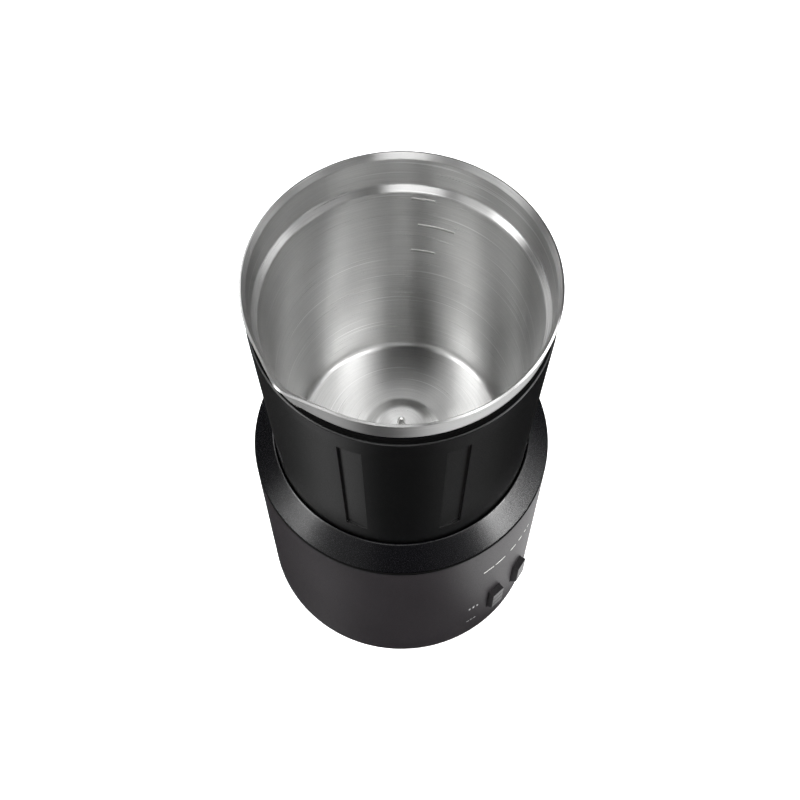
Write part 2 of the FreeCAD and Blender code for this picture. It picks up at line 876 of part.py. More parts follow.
def motor_bracket():
    plate = ring(bush_radius + slip, bracket_radius, bracket_under_z, bracket_top_z)
    for angle in spaced(fixing_count, fixing_first):
        arm = block(bush_radius + 2, fixing_circle, -bracket_arm / 2, bracket_arm / 2,
                    bracket_under_z, bracket_top_z)
        plate = plate.fuse(turned(arm, angle))
        plate = plate.fuse(post(bracket_arm / 2, fixing_circle, angle, bracket_under_z, former_under_z))
    for angle in spaced(fixing_count, fixing_first):
        plate = plate.cut(post(screw_radius + screw_clearance, fixing_circle, angle,
                               bracket_under_z, former_under_z))
    for angle in (0.0, 180.0):
        plate = plate.cut(post(screw_radius + screw_clearance, motor_screw_circle, angle,
                               bracket_under_z, bracket_top_z))
    return plate.removeSplitter()


def bracket_screws():
    return [screw(polar(fixing_circle, angle, bracket_under_z), polar(fixing_circle, angle, well_under_z - 1))
            for angle in spaced(fixing_count, fixing_first)]


def motor_screws():
    return [screw(polar(motor_screw_circle, angle, bracket_top_z),
                  polar(motor_screw_circle, angle, motor_top_z - 2 * motor_wall),
                  head_radius=2.2) for angle in (0.0, 180.0)]


def motor_can():
    can = lathe([
        (bush_radius, motor_top_z),
        (motor_radius, motor_top_z, 1.0),
        (motor_radius, motor_bottom_z),
        (motor_radius - motor_wall, motor_bottom_z),
        (motor_radius - motor_wall, motor_top_z - motor_wall),
        (bush_radius, motor_top_z - motor_wall),
    ])
    for angle in (0.0, 180.0):
        can = can.cut(post(screw_radius, motor_screw_circle, angle,
                           motor_top_z - 3 * motor_wall, motor_top_z))
    return can


def motor_end_cap():
    return lathe([
        (bush_radius, motor_bottom_z + end_cap_thickness / 2),
        (motor_radius - motor_wall, motor_bottom_z + end_cap_thickness / 2),
        (motor_radius - motor_wall, motor_bottom_z),
        (motor_radius, motor_bottom_z),
        (motor_radius, motor_bottom_z - end_cap_thickness / 2),
        (bush_radius, motor_bottom_z - end_cap_thickness / 2),
    ])


def shaft_bottom_z():
    return motor_bottom_z - end_cap_thickness / 2 + 1.0


def top_bush():
    return ring(shaft_radius + shaft_running, bush_radius, motor_top_z - 2.5, bracket_top_z)


def bottom_bush():
    low = motor_bottom_z - end_cap_thickness / 2
    return lathe([
        (0, low - 1.0),
        (bush_radius, low - 1.0),
        (bush_radius, motor_bottom_z + end_cap_thickness / 2),
        (shaft_radius + shaft_running, motor_bottom_z + end_cap_thickness / 2),
        (shaft_radius + shaft_running, shaft_bottom_z() - 0.1),
        (0, shaft_bottom_z() - 0.1),
    ])


def field_magnets():
    outer = motor_radius - motor_wall
    middle = (motor_bottom_z + motor_top_z) / 2
    return [sector(outer - field_magnet, outer, middle - field_magnet_length / 2,
                   middle + field_magnet_length / 2, side - field_magnet_span / 2,
                   side + field_magnet_span / 2) for side in (90.0, 270.0)]


def motor_armature():
    """The wound core and its commutator, fast on the shaft."""
    outer = motor_radius - motor_wall - field_magnet - armature_gap
    middle = (motor_bottom_z + motor_top_z) / 2
    low = middle - armature_length / 2
    high = middle + armature_length / 2
    core = ring(shaft_radius, outer, low, high)
    for angle in spaced(armature_slots):
        slot = block(0.45 * outer, outer + 1, -armature_slot_width / 2, armature_slot_width / 2,
                     low - 1, high + 1)
        core = core.cut(turned(slot, angle))
    commutator = ring(shaft_radius, commutator_radius, low - commutator_length, low)
    return core.fuse(commutator).removeSplitter()


def carrier_top_z():
    return boss_top_z - boss_skin - carrier_gap


def drive_shaft():
    return lathe([
        (0, shaft_bottom_z()),
        (shaft_radius, shaft_bottom_z(), 0.3),
        (shaft_radius, carrier_top_z() - 1.0),
        (0, carrier_top_z() - 1.0),
    ])


def magnet_pockets():
    top = carrier_top_z()
    return [post(drive_magnet_radius, drive_magnet_circle, angle, top - drive_magnet_length, top)
            for angle in spaced(drive_magnet_count, 45.0)]


def magnet_carrier():
    top = carrier_top_z()
    low = top - carrier_height
    carrier = lathe([
        (shaft_radius, low - 3.0),
        (2.6 * shaft_radius, low - 3.0),
        (2.6 * shaft_radius, low),
        (boss_inner_radius - carrier_gap, low),
        (boss_inner_radius - carrier_gap, top, 0.5),
        (0, top),
        (0, top - 1.0),
        (shaft_radius, top - 1.0),
    ])
    for pocket in magnet_pockets():
        carrier = carrier.cut(pocket)
    return carrier


# ---------------------------------------------------------------- electronics

def power_board():
    board = Part.makeCylinder(board_radius, board_thickness, vec(0, 0, board_under_z))
    front = block(-board_radius, board_radius, -board_radius - 1, -board_front_cut,
                  board_under_z - 1, board_top_z + 1)
    board = board.cut(front)
    for angle in board_post_angles:
        board = board.cut(post(screw_radius + screw_clearance, board_post_circle, angle,
                               board_under_z, board_top_z))
    return board


def board_screws():
    return [screw(polar(board_post_circle, angle, board_top_z),
                  polar(board_post_circle, angle, board_under_z - board_post_height / 2))
            for angle in board_post_angles]


def on_board(shape):
    """Stand a shape, drawn from z = 0 up, on the power board."""
    shape.translate(vec(0, 0, board_top_z))
    return shape


def smoothing_capacitors():
    cans = []
    for x, y in capacitor_places:
        can = lathe([(0, 0), (capacitor_radius, 0, 0.6), (capacitor_radius, capacitor_height, 0.8),
                     (0, capacitor_height)])
        can.translate(vec(x, y, 0))
        cans.append(on_board(can))
    return cans


def filter_choke():
    core = lathe([(choke_bore, 0, 1.0), (choke_radius, 0, 1.0), (choke_radius, choke_height, 1.0),
                  (choke_bore, choke_height, 1.0)])
    core.translate(vec(choke_place[0], choke_place[1], 0))
    return on_board(core)


def heatsink():
    x, y = heatsink_place
    sink = block(x - heatsink_back, x, y, y + heatsink_length, 0, heatsink_height)
    for i in range(heatsink_fins):
        at = y + (heatsink_length - fin_thickness) * i / (heatsink_fins - 1)
        sink = sink.fuse(block(x - heatsink_back - fin_depth, x - heatsink_back, at, at + fin_thickness,
                               0, heatsink_height))
    return on_board(sink.removeSplitter())


def power_transistors():
    """Two flat packages on the heatsink's face, each with three legs down to the board."""
    x, y = heatsink_place
    packages = []
    for i in range(2):
        low_y = y + 1.0 + i * (transistor_width + 2.0)
        package = block(x, x + transistor_depth, low_y, low_y + transistor_width, transistor_lift,
                        transistor_lift + transistor_height)
        for leg in range(3):
            leg_y = low_y + transistor_width * (leg + 1) / 4
            package = package.fuse(block(x + transistor_depth / 2, x + transistor_depth / 2 + 0.6,
                                         leg_y - 0.4, leg_y + 0.4, 0, transistor_lift))
        packages.append(on_board(package))
    return packages


def supply_transformer():
    x, y = transformer_place
    return on_board(block(x, x + transformer_size[0], y, y + transformer_size[1], 0, transformer_size[2]))


def terminal_block():
    """The block that the mains wires screw into, with one well for each wire."""
    length, depth, height = terminal_size
    low_y = terminal_y
    body = block(-length / 2, length / 2, low_y, low_y + depth, 0, height)
    for i in range(terminal_ways):
        x = length * ((i + 0.5) / terminal_ways - 0.5)
        body = body.cut(rod(1.6, vec(x, low_y + depth / 2, height - 4), vec(x, low_y + depth / 2, height)))
    return on_board(body)


# ---------------------------------------------------------------- control panel

def stem_tip():
    """Radius at which a button's stem ends, a little behind the guide it runs through."""
    guide_back = base_radius - guide_set_back - guide_thickness
    return guide_back / math.cos(math.radians(button_spread)) - stem_reach


def plunger_tip_y():
    """The stem at full press stops just short of the switch's plunger."""
    lean = math.radians(button_spread)
    pressed = (stem_tip() - button_travel) * math.cos(lean) - button_stem_radius * math.sin(lean)
    return -pressed + switch_gap


def panel_front_y():
    return plunger_tip_y() + switch_plunger + switch_height


def panel_screw_tip_y():
    return guide_front_y() - 2 * screw_radius


def button(side):
    angle = button_angles()[side]
    inner = base_radius - button_flange_set_back
    low = base_bottom_z + button_foot - button_flange_margin
    high = base_bottom_z + button_foot + button_height + button_flange_margin
    half = button_width / 2 + button_flange_margin
    flange = block(inner - button_flange_thickness, inner, -half, half, low, high)
    stem = rod(button_stem_radius, vec(stem_tip(), 0, (low + high) / 2),
               vec(inner - button_flange_thickness, 0, (low + high) / 2))
    return turned(button_key(0.0).fuse(flange).fuse(stem).removeSplitter(), angle)


def stem_z():
    return base_bottom_z + button_foot + button_height / 2


def button_spring(side):
    """The return spring round a button's stem, between the guide and the flange."""
    angle = button_angles()[side]
    flange_back = base_radius - button_flange_set_back - button_flange_thickness
    lean = math.radians(button_spread)
    guide_at = -guide_front_y() / math.cos(lean) + button_spring_radius * math.tan(lean) + switch_gap
    length = flange_back - guide_at
    return coil_spring(button_spring_radius, button_spring_wire, length, button_spring_turns,
                       polar(guide_at, angle, stem_z()), polar(1, angle, 0))


def button_guide():
    low = base_bottom_z + guide_foot
    front = guide_front_y()
    back = front + guide_thickness
    frame = block(-guide_half_width, guide_half_width, front, back, low, low + guide_height)
    for x, z in panel_posts():
        frame = frame.fuse(rod(panel_post, vec(x, back, z), vec(x, panel_front_y(), z)))
        frame = frame.cut(rod(screw_radius + screw_clearance, vec(x, front, z), vec(x, panel_front_y(), z)))
    for angle in button_angles().values():
        bore = rod(button_stem_radius + button_clearance, polar(base_radius - shell_wall, angle, stem_z()),
                   polar(stem_tip() - shell_wall, angle, stem_z()))
        frame = frame.cut(bore)
    return frame


def control_board():
    low = base_bottom_z + guide_foot
    board = block(-guide_half_width, guide_half_width, panel_front_y(), panel_front_y() + board_thickness,
                  low, low + guide_height)
    for x, z in panel_posts():
        board = board.cut(rod(screw_radius + screw_clearance, vec(x, panel_front_y(), z),
                              vec(x, panel_front_y() + board_thickness, z)))
    return board


def panel_screws():
    head_y = panel_front_y() + board_thickness
    return [screw(vec(x, head_y, z), vec(x, panel_screw_tip_y(), z), 2.2) for x, z in panel_posts()]


def tact_switches():
    switches = []
    for angle in button_angles().values():
        x = stem_tip() * math.cos(math.radians(angle))
        half = switch_size / 2
        body_front = panel_front_y() - switch_height
        body = block(x - half, x + half, body_front, panel_front_y(), stem_z() - half, stem_z() + half)
        plunger = rod(switch_plunger_radius, vec(x, body_front, stem_z()), vec(x, plunger_tip_y(), stem_z()))
        switches.append(body.fuse(plunger))
    return switches


# ---------------------------------------------------------------- wiring

def coil_leads():
    """Two leads from the coil's rim, down inside the housing and in to the power board."""
    leads = []
    middle_z = (former_top_z + coil_top_z) / 2
    for angle in coil_lead_angles:
        leads.append(tube([
            polar(coil_outer + slip, angle, middle_z),
            polar(coil_lead_circle, angle, middle_z),
            polar(coil_lead_circle, angle, board_top_z + 10),
            polar(coil_lead_foot, angle, board_top_z + 6),
            polar(coil_lead_foot, angle, board_top_z),
        ], coil_lead_radius, 2.6))
    return leads


def motor_leads():
    leads = []
    low_z = motor_bottom_z - end_cap_thickness / 2
    for y in motor_lead_rows:
        leads.append(tube([
            vec(motor_lead_x, y, low_z),
            vec(motor_lead_x, y, low_z - 10),
            vec(motor_lead_foot_x, y - 6, low_z - 20),
            vec(motor_lead_foot_x, y - 6, board_top_z),
        ], motor_lead_radius, 5.0))
    return leads


def sensor_lead():
    holder_z = sensor_flange_top_z() - sensor_flange_height - sensor_spring_length - sensor_holder_wall
    turn_z = motor_bottom_z - end_cap_thickness
    return tube([
        polar(sensor_circle, sensor_angle, holder_z),
        polar(sensor_circle, sensor_angle, turn_z),
        polar(sensor_circle - 3.5, sensor_angle + 8, turn_z - 12),
        polar(sensor_circle - 3.5, sensor_angle + 8, board_top_z),
    ], motor_lead_radius, 5.0)


def ribbon_cable():
    """The flat cable from the control board to the power board, bent once."""
    x0, x1 = ribbon_span
    back_y = panel_front_y() + board_thickness
    high = board_top_z + ribbon_rise
    skin = ribbon_thickness
    foot_y = -board_front_cut + ribbon_set_in
    corners = [
        (vec(x0, back_y, high), 0),
        (vec(x0, foot_y, high), 2 * skin),
        (vec(x0, foot_y, board_top_z), 0),
        (vec(x0, foot_y - skin, board_top_z), 0),
        (vec(x0, foot_y - skin, high - skin), skin),
        (vec(x0, back_y, high - skin), 0),
    ]
    return Part.Face(rounded_wire(corners)).extrude(vec(x1 - x0, 0, 0))


def main():
    os.makedirs("parts", exist_ok=True)
    write("jug_liner", jug_liner())
    write("whisk_spindle", whisk_spindle())
    write("jug_sleeve", jug_sleeve())
    write("rim_seal", rim_seal())
    write("jug_foot", jug_foot())
    write("heating_plate", heating_plate())
    write("base_housing", base_housing())
    write("shoulder_ring", shoulder_ring())
    write("well_cup", well_cup())
    write("collar_screws", *collar_screws())
    write("bottom_cover", bottom_cover())
    write("cover_screws", *cover_screws())
    write("rubber_feet", *rubber_feet())
    write("cord_gland", cord_gland())
    write("coil_former", coil_former())
    write("induction_coil", induction_coil())
    write("ferrite_bars", *ferrite_bars())
    write("sensor_cap", sensor_cap())
    write("sensor_spring", sensor_spring())
    write("sensor_holder", sensor_holder())
    write("motor_bracket", motor_bracket())
    write("bracket_screws", *bracket_screws())
    write("motor_screws", *motor_screws())
    write("motor_can", motor_can())
    write("motor_end_cap", motor_end_cap())
    write("top_bush", top_bush())
    write("bottom_bush", bottom_bush())
    write("field_magnets", *field_magnets())
    write("motor_armature", motor_armature())
    write("drive_shaft", drive_shaft())
    write("magnet_carrier", magnet_carrier())
    write("drive_magnets", *magnet_pockets())
    write("power_board", power_board())
    write("board_screws", *board_screws())
    write("smoothing_capacitors", *smoothing_capacitors())
    write("filter_choke", filter_choke())
    write("heatsink", heatsink())
    write("power_transistors", *power_transistors())
    write("supply_transformer", supply_transformer())
    write("terminal_block", terminal_block())
    write("button_guide", button_guide())
    write("control_board", control_board())
    write("panel_screws", *panel_screws())
    write("tact_switches", *tact_switches())
    for side in button_angles():
        write("button_" + side, button(side))
        write("button_spring_" + side, button_spring(side))
    write("coil_leads", *coil_leads())
    write("motor_leads", *motor_leads())
    write("sensor_lead", sensor_lead())
    write("ribbon_cable", ribbon_cable())


main()
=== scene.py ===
import json
import math

import bpy
from mathutils import Matrix, Vector


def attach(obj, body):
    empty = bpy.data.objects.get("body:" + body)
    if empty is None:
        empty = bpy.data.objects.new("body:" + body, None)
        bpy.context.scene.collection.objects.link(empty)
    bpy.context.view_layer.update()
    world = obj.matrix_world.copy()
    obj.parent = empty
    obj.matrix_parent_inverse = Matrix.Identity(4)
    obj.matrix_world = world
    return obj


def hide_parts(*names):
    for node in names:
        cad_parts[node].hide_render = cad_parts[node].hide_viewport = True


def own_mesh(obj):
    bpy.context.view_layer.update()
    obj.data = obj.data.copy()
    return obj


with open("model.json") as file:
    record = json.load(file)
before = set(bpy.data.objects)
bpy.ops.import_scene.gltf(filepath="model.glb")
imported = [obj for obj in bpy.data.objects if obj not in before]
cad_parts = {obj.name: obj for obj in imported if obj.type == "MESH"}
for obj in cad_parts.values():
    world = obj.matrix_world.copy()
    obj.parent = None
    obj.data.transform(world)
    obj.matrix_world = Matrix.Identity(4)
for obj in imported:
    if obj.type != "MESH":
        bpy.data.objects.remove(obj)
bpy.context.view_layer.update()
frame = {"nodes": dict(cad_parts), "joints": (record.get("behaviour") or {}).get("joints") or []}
bpy.ops.object.select_all(action="DESELECT")
scene = bpy.context.scene
nodes = frame["nodes"]


# ---------------------------------------------------------------- camera, light and floor

VIEW_AZIMUTH = -50.0
VIEW_ELEVATION = 62.6
VIEW_DISTANCE = 0.504
VIEW_TARGET = Vector((0.0, 0.0, 0.1334))
VIEW_SIDE_STEP = -0.00054
VIEW_LENS = 58.5
SOFTBOX_AIM = Vector((0.0, 0.0, 0.12))
SOFTBOX_DISTANCE = 1.5
CARD_HEIGHT = 0.003
DIFFUSER_SPILL = 4 / 3
DIFFUSER_FADE = 0.25


def direction(azimuth, elevation):
    """The unit vector towards an azimuth, counted from the front towards the right, and an elevation."""
    a, e = math.radians(azimuth), math.radians(elevation)
    return Vector((math.sin(a) * math.cos(e), -math.cos(a) * math.cos(e), math.sin(e)))


def make_camera():
    lens = bpy.data.cameras.new("Studio camera")
    lens.lens = VIEW_LENS
    lens.clip_start = 0.01
    camera = bpy.data.objects.new("Studio camera", lens)
    scene.collection.objects.link(camera)
    back = direction(VIEW_AZIMUTH, VIEW_ELEVATION)
    aside = direction(VIEW_AZIMUTH + 90, 0)
    camera.location = VIEW_TARGET + aside * VIEW_SIDE_STEP + back * VIEW_DISTANCE
    camera.rotation_euler = back.to_track_quat("Z", "Y").to_euler()
    scene.camera = camera


def soft_light(name, width, height, power, lit=()):
    """A softbox face, unseen by the camera, that fades towards its edges. Given pieces, it lights only them."""
    light = bpy.data.lights.new(name, "AREA")
    light.shape = "RECTANGLE"
    light.size = width * DIFFUSER_SPILL
    light.size_y = height * DIFFUSER_SPILL
    light.energy = power * DIFFUSER_SPILL ** 2
    light.use_nodes = True
    tree = light.node_tree
    face = add(tree, "ShaderNodeSeparateXYZ", None, add(tree, "ShaderNodeNewGeometry").outputs["Parametric"])
    fades = []
    for axis in "XY":
        off_middle = math_node(tree, "ABSOLUTE", math_node(tree, "SUBTRACT", face.outputs[axis], 0.5))
        to_edge = math_node(tree, "SUBTRACT", 0.5, off_middle)
        fades.append(add(tree, "ShaderNodeMapRange", {"interpolation_type": "SMOOTHSTEP"},
                         to_edge, 0.0, DIFFUSER_FADE, 0.0, 1.0))
    glow = math_node(tree, "MULTIPLY", fades[0].outputs["Result"], fades[1].outputs["Result"])
    tree.links.new(glow, tree.nodes["Emission"].inputs["Strength"])
    box = bpy.data.objects.new(name, light)
    box.visible_camera = False
    scene.collection.objects.link(box)
    if lit:
        receivers = bpy.data.collections.new(f"Lit by {name}")
        for piece in lit:
            receivers.objects.link(piece)
        box.light_linking.receiver_collection = receivers
    return box


def softbox(name, azimuth, elevation, width, height, power, lit=()):
    """A softbox placed round the camera's azimuth and aimed at the jug."""
    box = soft_light(name, width, height, power, lit)
    back = direction(VIEW_AZIMUTH + azimuth, elevation)
    box.location = SOFTBOX_AIM + back * SOFTBOX_DISTANCE
    box.rotation_euler = back.to_track_quat("Z", "Y").to_euler()


def table_card(name, azimuth, reach, width, depth, power, lit):
    """A pale card lying on the table, outside the camera's view."""
    card = soft_light(name, width, depth, power, lit)
    card.location = direction(VIEW_AZIMUTH + azimuth, 0) * reach + Vector((0, 0, CARD_HEIGHT))
    card.rotation_euler = (math.pi, 0, math.radians(VIEW_AZIMUTH + azimuth))


def make_world():
    """A white backdrop that lights nothing, and a dark room that lightens below the horizon, to the sides."""
    world = bpy.data.worlds.new("Studio room")
    scene.world = world
    world.use_nodes = True
    tree = world.node_tree
    background = tree.nodes["Background"]
    background.inputs["Color"].default_value = (1, 1, 1, 1)
    coordinates = add(tree, "ShaderNodeTexCoord")
    split = add(tree, "ShaderNodeSeparateXYZ", None, coordinates.outputs["Generated"])
    height = add(tree, "ShaderNodeMapRange", {"interpolation_type": "SMOOTHSTEP"}, split.outputs["Z"], -0.1, 0.35, 0, 1)
    side = direction(VIEW_AZIMUTH + 90, 0)
    across = add(tree, "ShaderNodeVectorMath", {"operation": "DOT_PRODUCT"}, coordinates.outputs["Generated"], side)
    to_right = add(tree, "ShaderNodeMapRange", None, across.outputs["Value"], 0.14, 0.36, 0.0, 0.2)
    to_left = add(tree, "ShaderNodeMapRange", None, across.outputs["Value"], -0.2, -0.4, 0.0, 0.55)
    sides = math_node(tree, "ADD", to_left.outputs["Result"], to_right.outputs["Result"])
    ahead = add(tree, "ShaderNodeVectorMath", {"operation": "DOT_PRODUCT"}, coordinates.outputs["Generated"],
                direction(VIEW_AZIMUTH, 0))
    fade = add(tree, "ShaderNodeMapRange", None, ahead.outputs["Value"], -0.02, 0.18, 0.06, 1.0)
    below = math_node(tree, "MULTIPLY", sides, fade.outputs["Result"])
    shade = add(tree, "ShaderNodeMix", {"data_type": "FLOAT"}, height.outputs["Result"])
    tree.links.new(below, shade.inputs["A"])
    shade.inputs["B"].default_value = 0.004
    seen = add(tree, "ShaderNodeLightPath").outputs["Is Camera Ray"]
    backdrop = add(tree, "ShaderNodeMix", {"data_type": "FLOAT"}, seen)
    tree.links.new(shade.outputs["Result"], backdrop.inputs["A"])
    backdrop.inputs["B"].default_value = 1.0
    tree.links.new(backdrop.outputs["Result"], background.inputs["Strength"])


def make_floor():
    bpy.ops.mesh.primitive_plane_add(size=6, location=(0, 0, 0))
    floor = bpy.context.object
    floor.name = "studio_floor"
    floor.visible_glossy = False
    floor.visible_shadow = False
    paper = bpy.data.materials.new("Studio paper")
    paper.use_nodes = True
    shader = paper.node_tree.nodes["Principled BSDF"]
    shader.inputs["Base Color"].default_value = (0.86, 0.86, 0.87, 1)
    shader.inputs["Roughness"].default_value = 0.9
    shader.inputs["Specular IOR Level"].default_value = 0.1
    shader.inputs["Emission Color"].default_value = (1, 1, 1, 1)
    shader.inputs["Emission Strength"].default_value = 1.0
    floor.data.materials.append(paper)


# ---------------------------------------------------------------- shader nodes

def add(tree, kind, settings=None, *places, **named):
    """A node in a tree. Each input is a value or another node's output, by place or by name."""
    made = tree.nodes.new(kind)
    for name, value in (settings or {}).items():
        setattr(made, name, value)
    for key, value in list(enumerate(places)) + [(n.replace("_", " "), v) for n, v in named.items()]:
        if isinstance(value, bpy.types.NodeSocket):
            tree.links.new(value, made.inputs[key])
        else:
            made.inputs[key].default_value = value
    return made


def math_node(tree, operation, *values):
    return add(tree, "ShaderNodeMath", {"operation": operation}, *values).outputs["Value"]


def new_group(name, inputs, outputs):
    """An empty shader group with its sockets, its tree, and its two end nodes."""
    tree = bpy.data.node_groups.new(name, "ShaderNodeTree")
    for socket, value in inputs.items():
        made = tree.interface.new_socket(socket, in_out="INPUT", socket_type="NodeSocketFloat")
        made.default_value = value
    for socket in outputs:
        tree.interface.new_socket(socket, in_out="OUTPUT", socket_type="NodeSocketFloat")
    return tree, tree.nodes.new("NodeGroupInput"), tree.nodes.new("NodeGroupOutput")


def grain_group():
    """Moulded grain: a fine pattern for height and roughness, and a slow cloud for the colour."""
    tree, given, result = new_group("Moulded grain", {"Grain scale": 2500.0, "Cloud scale": 18.0}, ["Grain", "Cloud"])
    place = add(tree, "ShaderNodeTexCoord").outputs["Object"]
    fine = add(tree, "ShaderNodeTexNoise", None, Vector=place, Scale=given.outputs["Grain scale"], Detail=2.0)
    slow = add(tree, "ShaderNodeTexNoise", None, Vector=place, Scale=given.outputs["Cloud scale"], Detail=3.0)
    tree.links.new(fine.outputs["Fac"], result.inputs["Grain"])
    tree.links.new(slow.outputs["Fac"], result.inputs["Cloud"])
    return tree


def painted_gap_shadow_group():
    """A painted shadow line round the axis, between two heights: shade that stands in for the gap between two parts."""
    tree, given, result = new_group("Painted gap shadow", {"Low": 0.0, "High": 0.001}, ["Seam"])
    place = add(tree, "ShaderNodeTexCoord").outputs["Object"]
    height = add(tree, "ShaderNodeSeparateXYZ", None, place).outputs["Z"]
    above = math_node(tree, "GREATER_THAN", height, given.outputs["Low"])
    below = math_node(tree, "LESS_THAN", height, given.outputs["High"])
    tree.links.new(math_node(tree, "MULTIPLY", above, below), result.inputs["Seam"])
    return tree


def dust_group():
    """Settled dust: specks on the faces that look up."""
    tree, given, result = new_group("Settled dust", {"Amount": 0.2}, ["Dust"])
    coordinates = add(tree, "ShaderNodeTexCoord")
    up = add(tree, "ShaderNodeSeparateXYZ", None, coordinates.outputs["Normal"]).outputs["Z"]
    lying = add(tree, "ShaderNodeMapRange", None, up, 0.3, 1.0, 0.0, 1.0).outputs["Result"]
    specks = add(tree, "ShaderNodeTexNoise", None, Vector=coordinates.outputs["Object"], Scale=900.0, Detail=5.0)
    sharp = add(tree, "ShaderNodeMapRange", None, specks.outputs["Fac"], 0.55, 0.8, 0.0, 1.0).outputs["Result"]
    dust = math_node(tree, "MULTIPLY", math_node(tree, "MULTIPLY", lying, sharp), given.outputs["Amount"])
    tree.links.new(dust, result.inputs["Dust"])
    return tree


def brushing_group():
    """Brushing round the axis: fine streaks, broader bands and a few long scratches, on walls and floor alike."""
    tree, given, result = new_group(
        "Round brushing", {"Streak scale": 2600.0, "Band scale": 420.0, "Run": 55.0}, ["Streak", "Band", "Scratch"]
    )
    place = add(tree, "ShaderNodeTexCoord").outputs["Object"]
    split = add(tree, "ShaderNodeSeparateXYZ", None, place)
    x, y, z = (split.outputs[axis] for axis in "XYZ")
    squares = [math_node(tree, "MULTIPLY", part, part) for part in (x, y)]
    radius = math_node(tree, "SQRT", math_node(tree, "ADD", *squares))

    def streaks(scale, run, detail):
        """Noise that runs long round the axis and changes quickly along a radius and up the wall."""
        point = add(tree, "ShaderNodeCombineXYZ", None, math_node(tree, "MULTIPLY", radius, scale),
                    math_node(tree, "MULTIPLY", x, run), math_node(tree, "MULTIPLY", y, run)).outputs["Vector"]
        return add(tree, "ShaderNodeTexNoise", {"noise_dimensions": "4D"}, Vector=point,
                   W=math_node(tree, "MULTIPLY", z, scale), Scale=1.0, Detail=detail).outputs["Fac"]

    fine = streaks(given.outputs["Streak scale"], given.outputs["Run"], 2.0)
    broad = streaks(given.outputs["Band scale"], 12.0, 2.0)
    lone = streaks(1500.0, 24.0, 0.0)
    scratch = add(tree, "ShaderNodeMapRange", None, lone, 0.71, 0.79, 0.0, 1.0).outputs["Result"]
    for name, value in (("Streak", fine), ("Band", broad), ("Scratch", scratch)):
        tree.links.new(value, result.inputs[name])
    return tree


def place_group(tree, group, **inputs):
    """Places a shader group in a material, with its own values."""
    return add(tree, "ShaderNodeGroup", {"node_tree": group}, **inputs)


def new_material(name, roughness, metallic, specular, colour):
    """A material with its constants on the shader's own sockets."""
    material = bpy.data.materials.new(name)
    material.use_nodes = True
    material.diffuse_color = (*colour, 1)
    shader = material.node_tree.nodes["Principled BSDF"]
    shader.inputs["Roughness"].default_value = roughness
    shader.inputs["Metallic"].default_value = metallic
    shader.inputs["Specular IOR Level"].default_value = specular
    return material, material.node_tree, shader


def mix_colours(tree, factor, low, high):
    mixed = add(tree, "ShaderNodeMix", {"data_type": "RGBA"})
    for socket, value in ((mixed.inputs[0], factor), (mixed.inputs[6], low), (mixed.inputs[7], high)):
        if isinstance(value, bpy.types.NodeSocket):
            tree.links.new(value, socket)
        elif isinstance(value, tuple):
            socket.default_value = (*value, 1)
        else:
            socket.default_value = value
    return mixed.outputs[2]


def with_painted_gap_shadow(tree, shown, low, high):
    """The colour so far, with a near-black painted shadow line where the part meets the next: the shade of the gap
    between them.
    """
    gap_shade = place_group(tree, PAINTED_GAP_SHADOW, Low=low, High=high)
    return mix_colours(tree, gap_shade.outputs["Seam"], shown, (0.001, 0.001, 0.001))


def moulded(name, colour, roughness, specular=0.5, grain=2500.0, depth=0.00002, dust=0.15, spread=0.25,
            seam=None):
    """A moulded plastic or rubber: grain in its height and roughness, clouds in its colour, dust, and a painted shadow
    line for the gap at a seam.
    """
    material, tree, shader = new_material(name, roughness, 0.0, specular, colour)
    pattern = place_group(tree, GRAIN, Grain_scale=grain)
    dark = tuple(c * (1 - spread) for c in colour)
    light = tuple(c * (1 + spread) + 0.0004 for c in colour)
    shown = mix_colours(tree, pattern.outputs["Cloud"], dark, light)
    if dust:
        specks = place_group(tree, DUST, Amount=dust)
        shown = mix_colours(tree, specks.outputs["Dust"], shown, (0.09, 0.09, 0.09))
    # A painted shadow line, near black, for the shade in the gap where this part meets the next.
    if seam:
        shown = with_painted_gap_shadow(tree, shown, *seam)
    tree.links.new(shown, shader.inputs["Base Color"])
    rough = add(tree, "ShaderNodeMapRange", None, pattern.outputs["Grain"],
                0.3, 0.7, roughness - 0.05, roughness + 0.07)
    tree.links.new(rough.outputs["Result"], shader.inputs["Roughness"])
    bump = add(tree, "ShaderNodeBump", None, Strength=0.6, Distance=depth, Height=pattern.outputs["Grain"])
    tree.links.new(bump.outputs["Normal"], shader.inputs["Normal"])
    return material


def worked(name, colour, roughness, grain=900.0, depth=0.00001, spread=0.12, metallic=1.0):
    """Plain worked metal or sintered stock: mottled colour and roughness."""
    material, tree, shader = new_material(name, roughness, metallic, 0.5, colour)
    pattern = place_group(tree, GRAIN, Grain_scale=grain, Cloud_scale=90.0)
    shown = mix_colours(tree, pattern.outputs["Cloud"], tuple(c * (1 - spread) for c in colour),
                        tuple(min(1.0, c * (1 + spread)) for c in colour))
    tree.links.new(shown, shader.inputs["Base Color"])
    rough = add(tree, "ShaderNodeMapRange", None, pattern.outputs["Grain"],
                0.25, 0.75, roughness - 0.06, roughness + 0.1)
    tree.links.new(rough.outputs["Result"], shader.inputs["Roughness"])
    bump = add(tree, "ShaderNodeBump", None, Strength=0.5, Distance=depth, Height=pattern.outputs["Grain"])
    tree.links.new(bump.outputs["Normal"], shader.inputs["Normal"])
    return material


